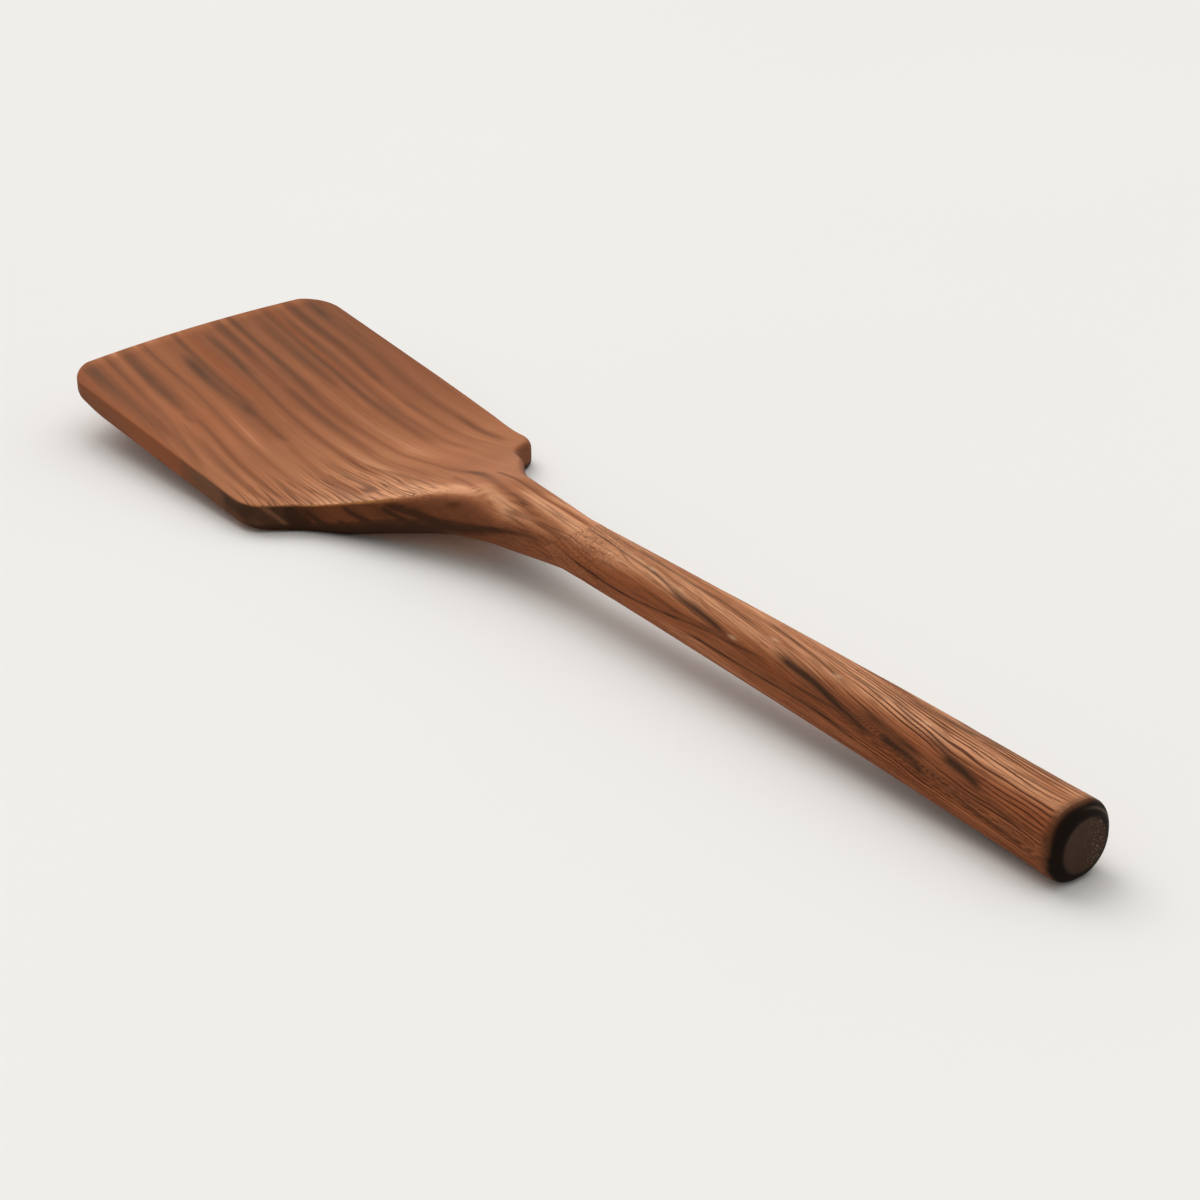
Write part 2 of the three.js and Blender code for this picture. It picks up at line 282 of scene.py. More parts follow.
@dataclass(frozen=True)
class TurnerForm:
    """Outer form of the whole turner in millimetres: x from its heel to its butt, z up."""

    blade_length: float = 104.0
    blade_pitch: float = math.radians(6.3)
    blade_thickness: float = 5.6
    tip_thickness: float = 3.0
    tip_bevel: float = 26.0
    tip_half_width: float = 42.0
    shoulder_half_width: float = 40.2
    tip_corner: float = 10.5
    tip_edge: float = 0.9
    shoulder_corner: float = 8.2
    shoulder_turn: float = math.radians(50)
    shoulder_start: float = -11.4
    offset_reach: float = 40.0
    tip_bow: float = 2.3
    tip_slant: float = 3.3
    shoulder_slant: float = 4.6
    shoulder_zone: Zone = Zone((-60, -20), (12, 45))
    plane_end: float = -20.0
    butt_x: float = 218.6
    butt_radius: float = 8.1
    butt_height: float = 7.941
    handle_x: float = 66.0
    handle_radius: float = 6.05
    handle_height: float = 13.9
    corner_share: float = 0.84
    edge_limit: float = 0.49
    bow: float = 0.6
    belly: float = 0.08
    cap_rim: float = 2.5
    cap_thickness: float = 2.5
    joint_x: float = 62.5
    joint_slope: float = 10 / 7
    neck_widths: Knots = ((-0.5, 30.2), (5, 26.0), (17, 19.4), (31, 12.6), (42, 8.9), (54, 7.3))
    neck_tops: Knots = (
        (-16, 7.45), (-8, 7.25), (-3, 7.5), (1, 8.2), (5, 9.25),
        (17, 13.1), (31, 17.8), (42, 20.35), (52, 20.65),
    )
    neck_undersides: Knots = ((-2, 0), (2.5, 0), (8, 0.9), (16, 2.7), (33, 5.75), (50, 6.5), (58, 7.2))
    upper_edges: Knots = ((-20, 0.7), (4, 0.9), (12, 1.2), (20, 2.6), (28, 4.6), (36, 6.0), (52, 6.0))
    far_softening: Knots = ((-46, 0), (-24, 0.8), (-13, 2.0), (0, 2.0), (12, 1.2), (30, 0))
    far_widening: Knots = ((-5, 0), (3, 1.2), (10, 1.6), (20, 0.8), (34, 0.3), (48, 0.2), (62, 0))
    lower_edges: Knots = ((-20, 1.0), (-8, 1.4), (6, 4.0), (24, 5.2), (52, 5.6))

    @property
    def tip_x(self) -> float:
        """Where the blade's tip is."""
        return -self.blade_length * math.cos(self.blade_pitch)

    @property
    def cap_x(self) -> float:
        """Where the end cap meets the handle."""
        return self.butt_x - self.cap_thickness

    def share(self, x: Array | float) -> Array:
        """Share of the handle's length, 0 at the neck and 1 at the butt."""
        return (np.asarray(x, float) - self.handle_x) / (self.butt_x - self.handle_x)

    def hump(self, x: Array | float) -> Array:
        """A rise that is 1 in the handle's middle and 0 at both of its ends."""
        return np.maximum(0, 4 * self.share(x) * (1 - self.share(x)))

    def radius(self, x: Array | float) -> Array:
        """Half the handle's thickness."""
        taper = (self.butt_radius - self.handle_radius) * self.share(x)
        return self.handle_radius + taper + self.belly * self.hump(x)

    def height(self, x: Array | float) -> Array:
        """Height of the handle's middle line."""
        fall = (self.butt_height - self.handle_height) * self.share(x)
        return self.handle_height + fall + self.bow * self.hump(x)

    def half_width(self, x: Array | float) -> Array:
        """Half the width of the blade, the neck or the handle.

        Args:
            x: places along the turner.

        Returns:
            The half width at each place.
        """
        x = np.asarray(x, float)
        big, small = self.tip_corner, self.shoulder_corner
        end_x = self.shoulder_start + small * math.sin(self.shoulder_turn)
        end_width = self.shoulder_half_width - small * (1 - math.cos(self.shoulder_turn))
        tip = x - self.tip_x
        run = self.shoulder_start - self.tip_x
        side = self.tip_half_width + (self.shoulder_half_width - self.tip_half_width) * tip / run
        blade = side - big + np.sqrt(big**2 - np.clip(big - tip, 0, big) ** 2)
        along = np.clip(x - self.shoulder_start, 0, small)
        corner = self.shoulder_half_width - small + np.sqrt(small**2 - along**2)
        ends = ((end_x, end_width),), ((self.handle_x, self.handle_radius),)
        neck = through(ends[0] + self.neck_widths + ends[1], x)
        zones = [x < self.shoulder_start, x < end_x, x <= self.handle_x]
        return np.select(zones, [blade, corner, neck], self.radius(x))

    def top(self, x: Array | float) -> Array:
        """Height of the upper side.

        Args:
            x: places along the turner.

        Returns:
            The upper side's height at each place.
        """
        x = np.asarray(x, float)
        rise = self.blade_thickness / math.cos(self.blade_pitch)
        pitch = math.tan(self.blade_pitch)
        first = ((self.plane_end, rise - self.plane_end * pitch),)
        last = ((self.handle_x, self.handle_height + self.handle_radius),)
        neck = through(first + self.neck_tops + last, x)
        zones = [x <= self.plane_end, x <= self.handle_x]
        return np.select(zones, [rise - x * pitch, neck], self.height(x) + self.radius(x))

    def underside(self, x: Array | float) -> Array:
        """Height of the underside.

        Args:
            x: places along the turner.

        Returns:
            The underside's height at each place.
        """
        x = np.asarray(x, float)
        pitch = math.tan(self.blade_pitch)
        bevel = 1 - smooth(self.tip_x, self.tip_x + self.tip_bevel, x)
        plane = bevel * (self.blade_thickness - self.tip_thickness) - x * pitch
        first = ((self.plane_end, -self.plane_end * pitch),)
        last = ((self.handle_x, self.handle_height - self.handle_radius),)
        neck = through(first + self.neck_undersides + last, x)
        zones = [x <= self.plane_end, x <= self.handle_x]
        return np.select(zones, [plane, neck], self.height(x) - self.radius(x))

    def edge(self, knots: Knots, x: float) -> float:
        """Radius of the upper or lower edges.

        Args:
            knots: the edge's radii along the neck.
            x: place along the turner.

        Returns:
            The edge's radius there.
        """
        if x > self.handle_x:
            return float(self.corner_share * self.radius(x))
        last = ((self.handle_x, self.corner_share * self.handle_radius),)
        return float(through(knots + last, x))

    def hand_cut(self, x: Array | float, y: Array) -> Array:
        """Slant and bow of the tip and the offset of the shoulders, as cut by hand.

        Args:
            x: places along the turner before the cut.
            y: places across it.

        Returns:
            The places along the turner after the cut.
        """
        near_tip = 1 - smooth(self.tip_x, self.tip_x / 2, x)
        near_shoulder = self.shoulder_zone.at(x)
        reach = y / self.offset_reach
        tip = near_tip * (self.tip_bow * reach**2 - self.tip_slant * reach)
        return x + tip + near_shoulder * self.shoulder_slant * reach

    def inset(self, x: float) -> float:
        """How far a section draws in for the rounded tip edge and the cap's rounded rim.

        Args:
            x: place along the turner.

        Returns:
            The inset there.
        """
        def rounded(radius: float, depth: float) -> float:
            """Drop of a rounded edge at a depth behind its end."""
            left = min(max(radius - depth, 0.0), radius)
            return radius - math.sqrt(radius**2 - left**2)

        return rounded(self.tip_edge, x - self.tip_x) + rounded(self.cap_rim, self.butt_x - x)

    def section(self, x: float, count: SectionCount) -> Array:
        """One closed cross-section, from the near side's middle over the top and back below.

        Args:
            x: place along the turner.
            count: points on each part of a quarter.

        Returns:
            The section's points, one row each.
        """
        inset = self.inset(x)
        low, high = float(self.underside(x)), float(self.top(x))
        width = float(self.half_width(x)) - inset
        most = self.edge_limit * min(2 * width, high - low - 2 * inset)
        upper = min(most, self.edge(self.upper_edges, x))
        lower = min(most, self.edge(self.lower_edges, x))
        soft = min(most, upper + float(through(self.far_softening, x)))
        level = (high - upper + low + lower) / 2
        stretch = 1 + float(through(self.far_widening, x)) / width

        def half(face: float, radius: float) -> Array:
            """A quarter of a section: side, rounded edge and face up to the middle line.

            Args:
                face: height of the face.
                radius: radius of the edge.

            Returns:
                Places across and heights, one row each.
            """
            turn = math.copysign(radius, face - level)
            side = np.arange(count.side) / count.side
            bend = np.arange(count.corner) / count.corner * (math.pi / 2)
            flat = np.arange(count.flat + 1) / count.flat
            y = [np.full(count.side, -width), radius * (1 - np.cos(bend)) - width]
            z = [level + (face - turn - level) * side, face - turn * (1 - np.sin(bend))]
            y.append((radius - width) * (1 - flat))
            z.append(np.full(count.flat + 1, face))
            return np.stack([np.concatenate(y), np.concatenate(z)], 1)

        def chain(face: float, near: float, far: float) -> Array:
            """The near and the far half of a section's upper or lower side."""
            return np.concatenate([half(face, near), half(face, far)[:-1][::-1] * [-stretch, 1]])

        over = chain(high - inset, upper, soft)
        under = chain(low + inset, lower, lower)[1:-1][::-1]
        y, z = np.concatenate([over, under]).T
        cut_x = self.hand_cut(x, y)
        share = (z - low) / (high - low)
        bottom = self.underside(cut_x)
        return np.stack([cut_x, y, bottom + share * (self.top(cut_x) - bottom)], 1)

    def sections(self, places: Array, count: SectionCount) -> Array:
        """Cross-sections at several places, stacked."""
        return np.stack([self.section(float(x), count) for x in places])


def along_strands(sections: Array, places: Array) -> Array:
    """Slides the points of sections along the turner.

    Args:
        sections: sections in rising order, whose points line up as strands.
        places: where each strand is wanted, one row for each new section.

    Returns:
        New sections at those places.
    """
    found = np.empty(places.shape + (3,))
    found[..., 0] = places
    for strand in range(sections.shape[1]):
        line = sections[:, strand]
        for axis in (1, 2):
            found[:, strand, axis] = np.interp(places[:, strand], line[:, 0], line[:, axis])
    return found


def round_ring(rim: Array, middle: float, radius: float, x: Array | float, height: float) -> Array:
    """A round ring of a bore or a tenon, whose points face those of a rim.

    Args:
        rim: the rim's points.
        middle: height that the rim's points are seen from.
        radius: the ring's radius.
        x: place along the turner.
        height: height of the ring's middle.

    Returns:
        The ring's points.
    """
    angle = np.arctan2(rim[:, 2] - middle, rim[:, 1])
    ring = np.empty_like(rim)
    ring[:, 0] = x
    ring[:, 1] = radius * np.cos(angle)
    ring[:, 2] = height + radius * np.sin(angle)
    return ring


@dataclass(frozen=True)
class WedgeJoint:
    """V-shaped joint between neck and handle, with the bores for its dowel."""

    form: TurnerForm
    count: SectionCount
    glue_line: float = 0.04
    dowel_start: float = 46.0
    dowel_end: float = 84.0
    bore_radius: float = 2.8
    bore_gap: float = 0.3
    search_rounds: int = 12

    def axis_height(self, x: Array | float) -> Array:
        """Height of the dowel's middle line.

        Args:
            x: places along the turner.

        Returns:
            The height at each place.
        """
        start, end = self.dowel_start, self.dowel_end
        heights = [float(self.form.height(start)), float(self.form.height(end))]
        slope = (heights[1] - heights[0]) / (end - start)
        return heights[0] + slope * (np.asarray(x, float) - start)

    def meet(self, sections: Array, offset: float) -> Array:
        """Finds where the strands of a loft run into the joint.

        Args:
            sections: sections that span the joint.
            offset: how far the face is set back along the turner.

        Returns:
            The place along the turner at which each strand ends.
        """
        places = np.full((1, sections.shape[1]), self.form.joint_x)
        middle = along_strands(sections, places)[0, 0, 2]
        for _ in range(self.search_rounds):
            z = along_strands(sections, places)[..., 2]
            places = self.form.joint_x + offset + self.form.joint_slope * np.abs(z - middle)
        return places[0]

    def face(self, rim: Array, depth_x: float) -> list[Array]:
        """The joint's slanted faces and the bore behind them.

        Args:
            rim: the loft's last section, which lies on the joint.
            depth_x: where the bore ends.

        Returns:
            Rings from the rim inwards to the bore's end.
        """
        middle = rim[0, 2]
        point_x = rim[0, 0]
        mouth = round_ring(rim, middle, self.bore_radius, point_x, float(self.axis_height(point_x)))
        mouth[:, 0] += self.form.joint_slope * np.abs(mouth[:, 2] - middle)
        end = mouth.copy()
        end[:, 0] = depth_x
        end[:, 2] += self.axis_height(depth_x) - self.axis_height(point_x)
        return [(rim + mouth) / 2, mouth, end]


class LoftEnd(Enum):
    """How the end of a loft is closed."""

    POLE = "a fan to a middle point"
    EDGE = "a strip across a thin edge"


@dataclass
class Loft:
    """Rings of points, in millimetres, that are skinned into one closed mesh."""

    rings: list[Array]
    first: LoftEnd
    last: LoftEnd
    creases: set[int] = field(default_factory=set)

    def faces(self) -> list[tuple[int, ...]]:
        """Skins the rings.

        Returns:
            Faces as tuples of vertex numbers.
        """
        count, size = len(self.rings), len(self.rings[0])
        made: list[tuple[int, ...]] = []
        for ring in range(count - 1):
            a, b = ring * size, (ring + 1) * size
            for i in range(size):
                j = (i + 1) % size
                made.append((a + i, a + j, b + j, b + i))
        made += self.closing(0, self.first, count * size, reverse=True)
        pole = count * size + (1 if self.first is LoftEnd.POLE else 0)
        made += self.closing((count - 1) * size, self.last, pole, reverse=False)
        return made

    def closing(self, start: int, end: LoftEnd, pole: int, reverse: bool) -> list[tuple[int, ...]]:
        """Closes one end of the loft.

        Args:
            start: number of the end ring's first vertex.
            end: how the end is closed.
            pole: number of the middle point, for a fan.
            reverse: whether the faces turn the other way round.

        Returns:
            The closing faces.
        """
        size = len(self.rings[0])
        if end is LoftEnd.POLE:
            made = [(start + i, start + (i + 1) % size, pole) for i in range(size)]
        else:
            half = size // 2
            made = [(start, start + 1, start + size - 1)]
            made += [
                (start + i, start + i + 1, start + size - i - 1, start + size - i)
                for i in range(1, half - 1)
            ]
            made.append((start + half - 1, start + half, start + half + 1))
        return [face[::-1] for face in made] if reverse else made

    def poles(self) -> list[Array]:
        """Middle points of the ends that are fans."""
        ends = ((self.first, self.rings[0]), (self.last, self.rings[-1]))
        return [ring.mean(axis=0) for end, ring in ends if end is LoftEnd.POLE]

    def build(self, name: str, shift_x: float) -> bpy.types.Object:
        """Makes the mesh object.

        Args:
            name: the piece's name.
            shift_x: the form's heel in the shared frame, in metres.

        Returns:
            The new object, smooth but for its creases.
        """
        points = np.concatenate(self.rings + [pole[None] for pole in self.poles()])
        place = points * MM + [shift_x, 0, 0]
        mesh = bpy.data.meshes.new(name)
        mesh.from_pydata(place.tolist(), [], self.faces())
        mesh.validate()
        mesh.shade_smooth()
        size = len(self.rings[0])
        ends = np.empty(len(mesh.edges) * 2, int)
        mesh.edges.foreach_get("vertices", ends)
        rows = (ends // size).reshape(-1, 2)
        sharp = (rows[:, 0] == rows[:, 1]) & np.isin(rows[:, 0], list(self.creases))
        mark = mesh.attributes.new("sharp_edge", "BOOLEAN", "EDGE")
        mark.data.foreach_set("value", sharp)
        mesh.update()
        return put_in_scene(name, mesh)

    def mark(self, piece: bpy.types.Object, name: str, rows: Array, lead: int) -> None:
        """Writes measured values on the mesh for its finish to read.

        Args:
            piece: the object made from this loft.
            name: the values' name.
            rows: three values for each point of the outer rings.
            lead: rings before the first outer ring.
        """
        tail = len(self.rings) - lead - len(rows)
        full = np.pad(rows, ((lead, tail), (0, 0), (0, 0)), mode="edge")
        values = [full.reshape(-1, 3)]
        ends = ((self.first, full[0]), (self.last, full[-1]))
        values += [ring.mean(axis=0)[None] for end, ring in ends if end is LoftEnd.POLE]
        layer = piece.data.attributes.new(name, "FLOAT_VECTOR", "POINT")
        layer.data.foreach_set("vector", np.concatenate(values).astype(np.float32).ravel())


def outward(rings: Array) -> Array:
    """Directions square to a loft's outer rings, pointing out.

    Args:
        rings: the outer rings.

    Returns:
        One unit direction for each point.
    """
    along = np.gradient(rings, axis=0)
    around = np.roll(rings, -1, axis=1) - np.roll(rings, 1, axis=1)
    square = np.cross(around, along)
    middle = rings.mean(axis=1, keepdims=True)
    turn = np.sign(np.sum(square * (rings - middle), axis=(1, 2), keepdims=True))
    length = np.linalg.norm(square, axis=2, keepdims=True)
    return turn * square / np.maximum(length, SHORTEST)


def girth(rings: Array, count: SectionCount) -> tuple[Array, Array]:
    """Distance round a section from the top's middle, near side positive.

    Args:
        rings: the outer rings.
        count: points on each part of a section.

    Returns:
        The signed distance of each point, and half the girth of each ring.
    """
    size = rings.shape[1]
    order = (count.half // 2 - np.arange(size + 1)) % size
    steps = np.linalg.norm(np.diff(rings[:, order], axis=1), axis=2)
    walked = np.concatenate([np.zeros((len(rings), 1)), np.cumsum(steps, axis=1)], 1)
    whole = walked[:, -1:]
    signed = np.where(walked[:, :-1] > whole / 2, walked[:, :-1] - whole, walked[:, :-1])
    found = np.empty_like(signed)
    found[:, order[:-1]] = signed
    return found, whole[:, 0] / 2


@dataclass(frozen=True)
class Streak:
    """One dark or light layer of the wood, as a path over a piece."""

    path: Knots
    half_width: float
    lift: float
    fade: float = 7.0

    def at(self, along: Array, across: Array) -> Array:
        """Measures the streak.

        Args:
            along: places along the grain.
            across: places across the grain.

        Returns:
            The streak's share of its lift at each place.
        """
        start, end = self.path[0][0], self.path[-1][0]
        fade = min(self.fade, (end - start) / 2)
        window = Zone((start, start + fade), (end - fade, end)).at(along)
        away = (across - through(self.path, along)) / self.half_width
        return window * np.exp(-away * away)


@dataclass(frozen=True)
class Spot:
    """A dark patch or pin knot in the wood."""

    along: float
    across: float
    length: float
    width: float
    lift: float

    def at(self, along: Array, across: Array) -> Array:
        """Measures the spot.

        Args:
            along: places along the grain.
            across: places across the grain.

        Returns:
            The spot's share of its lift at each place.
        """
        u = (along - self.along) / self.length
        v = (across - self.across) / self.width
        return np.exp(-u * u - v * v)


BLADE_STREAKS: tuple[Streak, ...] = (
    Streak(((-108, 36.8), (-88, 36.5), (-70, 37.0), (-30, 36.4), (-14, 35.6), (-3, 33.8)), 1.6, -0.15),
    Streak(((-110, 36.9), (-95, 36.8), (-85, 36.5)), 1.5, -0.14),
    Streak(((-26, 36.2), (-10, 35.3), (-2, 33.6)), 1.1, -0.16),
    Streak(((-116, 30.4), (-85, 30.4), (-74, 30.6), (-62, 30.0), (-44, 29.4)), 1.5, -0.22, 12),
    Streak(((-42, 29.6), (-20, 29.6), (-4, 29.2)), 1.3, -0.10),
    Streak(((-97, 25.6), (-70, 25.6), (-50, 25.2), (-25, 24.8), (-4, 24.6)), 0.9, -0.15),
    Streak(((-116, 22.4), (-80, 22.2), (-62, 22.0), (-50, 21.7), (-35, 22.2), (-8, 21.8)), 1.2, -0.24, 14),
    Streak(((-98, 18.2), (-75, 17.8), (-50, 18.0)), 1.7, -0.16),
    Streak(((-120, 11.9), (-90, 11.9), (-75, 11.7), (-62, 11.3), (-48, 11.0)), 1.2, -0.34, 14),
    Streak(
        ((-64, 11.2), (-40, 10.9), (-14, 10.8), (-3, 11.0), (8, 12.2), (20, 13.6), (34, 13.0)), 1.1, -0.24, 14
    ),
    Streak(((8, 12.4), (20, 13.6), (32, 13.0), (46, 11.4), (74, 10.0)), 1.1, -0.26, 12),
    Streak(
        ((-116, 7.2), (-90, 7.2), (-76, 6.8), (-60, 6.2), (-40, 6.2), (-22, 5.6), (14, 4.2)), 1.4, -0.16, 16
    ),
    Streak(((-116, 7.4), (-90, 7.3), (-76, 6.8)), 1.1, -0.10),
    Streak(((-62, 6.2), (-38, 6.2), (-16, 5.4)), 1.6, -0.10),
    Streak(
        ((-101, 1.9), (-84, 2.1), (-74, 1.4), (-60, 0.5), (-40, 0.2), (-22, -0.6), (-4, -2.6)), 1.0, -0.22, 8
    ),
    Streak(((-97, 1.9), (-84, 2.1), (-68, 1.2)), 1.1, -0.16, 9),
    Streak(((-120, -6.3), (-90, -6.4), (-72, -6.6), (-50, -6.6)), 0.9, -0.16, 12),
    Streak(((-92, -9.0), (-75, -9.4), (-55, -8.8), (-33, -8.8)), 2.2, -0.24, 9),
    Streak(((-36, -9.5), (-20, -11.2), (-8, -12.8), (6, -14.4)), 1.1, -0.14),
    Streak(
        ((-108, -16.0), (-75, -16.1), (-58, -16.2), (-40, -16.8), (-24, -18.2), (-6, -20.6)), 0.8, -0.18, 10
    ),
    Streak(((-116, -22.0), (-85, -22.4), (-70, -22.6), (-56, -23.0)), 1.9, -0.28, 10),
    Streak(((-62, -22.2), (-44, -23.0), (-30, -24.4), (-18, -25.8), (-5, -27.8)), 0.9, -0.28, 9),
    Streak(((-52, -26.4), (-36, -27.4), (-22, -29.2), (-7, -31.8)), 0.9, -0.26, 9),
    Streak(((-112, -28.4), (-80, -28.4), (-62, -28.9), (-48, -30.4), (-32, -32.2)), 0.8, -0.20, 12),
    Streak(((-68, -31.2), (-46, -31.6), (-30, -33.4)), 0.9, -0.14),
    Streak(((-112, -34.6), (-88, -34.2), (-70, -33.4), (-44, -33.6)), 1.9, -0.28, 16),
    Streak(((24, 17.0), (42, 16.9), (54, 16.3), (62, 16.5), (74, 16.6)), 0.5, -0.45),
    Streak(((42, 14.8), (56, 14.4), (74, 13.4)), 1.6, 0.20),
    Streak(((44, 11.6), (54, 10.4), (62, 9.0), (74, 8.0)), 0.9, -0.26, 8),
    Streak(((4, -4.6), (16, -1.4), (30, 2.4), (44, 7.2), (52, 9.0)), 1.8, 0.16, 8),
    Streak(((12, 8.8), (26, 7.8), (36, 6.6), (48, 4.6)), 0.9, -0.28),
    Streak(((-112, 33.4), (-70, 33.6), (-38, 33.2)), 1.0, 0.06),
    Streak(((-116, 27.8), (-70, 27.8), (-40, 27.6), (-18, 27.2)), 1.1, 0.12, 14),
    Streak(((-88, 23.9), (-60, 23.6), (-36, 23.4)), 0.6, 0.10),
    Streak(((-116, 20.2), (-60, 19.8), (-36, 19.4)), 1.0, 0.08),
    Streak(((-100, 14.6), (-56, 14.6)), 1.6, 0.06),
    Streak(((-70, 15.4), (-40, 15.6), (-20, 15.0), (2, 15.4)), 3.2, 0.08, 20),
    Streak(((-116, 9.7), (-68, 9.5)), 0.9, 0.10),
    Streak(((-108, 4.4), (-76, 4.2)), 0.9, 0.06),
    Streak(((-50, 3.2), (-26, 2.4), (-4, 1.4)), 1.0, 0.10),
    Streak(((-108, -4.3), (-80, -4.3), (-56, -4.2)), 0.7, 0.10),
    Streak(((-120, -13.4), (-75, -13.5), (-50, -13.8), (-26, -15.2)), 2.0, 0.15, 18),
    Streak(((-120, -18.3), (-70, -18.2), (-50, -19.0), (-28, -21.0)), 1.4, 0.12, 14),
    Streak(((-120, -26.0), (-70, -26.2), (-50, -27.2)), 1.4, 0.15, 12),
    Streak(((-60, -24.8), (-36, -25.8), (-14, -27.8)), 1.0, 0.06),
    Streak(((-110, -30.4), (-66, -30.2)), 0.8, 0.12),
    Streak(((-42, -29.8), (-20, -31.4), (-8, -32.8)), 0.8, 0.08),
)
FLANK_STREAKS: tuple[Streak, ...] = (
    Streak(((-24, -37.2), (-14, -37.4), (-8, -36.4)), 2.2, -0.22, 5),
    Streak(((-9.5, -34.2), (-5.0, -34.2)), 0.5, 0.34, 1),
    Streak(((-6.5, -31.5), (-0.5, -31.6)), 1.5, -0.40, 1.5),
    Streak(((-3.2, -28.8), (0.9, -28.2), (6, -25.5)), 0.4, -0.40, 1.5),
    Streak(((4, -25.0), (9, -23.0), (12.5, -20.6)), 0.32, -0.28, 2),
    Streak(((5.5, -21.3), (11.6, -19.6), (19, -15.6)), 0.42, -0.42, 2),
    Streak(((15, -14.5), (20.5, -12.8), (26, -10.6)), 0.42, -0.40, 2),
    Streak(((15, -13.4), (22.7, -9.9), (29.4, -7.3), (39.9, -2.1), (50, 2.2), (63, 6.2)), 0.7, -0.38, 4),
    Streak(((24, -4.5), (34, -0.6), (46, 4.6), (58, 7.0)), 0.6, -0.18, 4),
)
BLADE_SPOTS: tuple[Spot, ...] = (
    Spot(-80, -9.2, 7.0, 1.8, -0.10),
    Spot(-54, -8.6, 3.5, 1.4, -0.20),
    Spot(-37, -8.6, 2.6, 1.1, -0.18),
    Spot(-94, -7.0, 6.0, 1.0, -0.06),
    Spot(-83, -22.6, 4.0, 1.3, -0.08),
    Spot(-72, -22.4, 5.0, 1.2, -0.12),
    Spot(-57.5, -24.5, 2.4, 0.8, -0.24),
    Spot(-94, 36.8, 4.0, 1.2, -0.08),
    Spot(-90, -35.0, 5.0, 1.3, -0.08),
)
BLADE_REDS: tuple[Streak, ...] = (
    Streak(((-102, -2.6), (-80, -2.8), (-56, -3.4)), 1.6, 1.0),
    Streak(((-108, -38.2), (-80, -38.2), (-56, -37.0)), 1.8, 1.0),
    Streak(((-108, 24.0), (-80, 23.8), (-50, 23.4)), 0.9, 0.7),
    Streak(((-64, -36.5), (-48, -37.5), (-33, -37.0)), 2.4, 1.0),
)
SHOULDER_LINES: tuple[Streak, ...] = (
    Streak(((-13, -3.6), (-8, -5.0), (-3, -7.2)), 0.3, 0.7, 3),
    Streak(((-14, -7.6), (-9, -8.6), (0, -9.6), (10, -10.6), (20, -11.4)), 0.3, 1.0, 3),
    Streak(((-16, -9.6), (-9, -11.6), (-2, -13.4), (14, -15.2)), 0.3, 1.0, 3),
    Streak(((-14, -12.2), (-7, -14.4), (0, -16.4), (9, -18.2)), 0.3, 0.9, 3),
    Streak(((-12, -19.4), (-4, -20.4), (4, -21.4)), 0.3, 0.9, 3),
    Streak(((-1, -0.4), (10, -1.2), (26, -3.6)), 0.25, 0.7, 3),
    Streak(((0, -2.4), (12, -3.4), (25, -5.2)), 0.25, 0.9, 3),
    Streak(((-2, -5.0), (10, -6.2), (23, -8.0)), 0.25, 0.8, 3),
    Streak(((-10, -16.6), (0, -18.4), (6, -19.8)), 0.25, 0.8, 3),
    Streak(((-20, -22.0), (-8, -23.8), (-1, -25.0)), 0.3, 0.6, 3),
    Streak(((-22, -28.6), (-12, -30.6), (-5, -32.2)), 0.3, 0.6, 3),
)


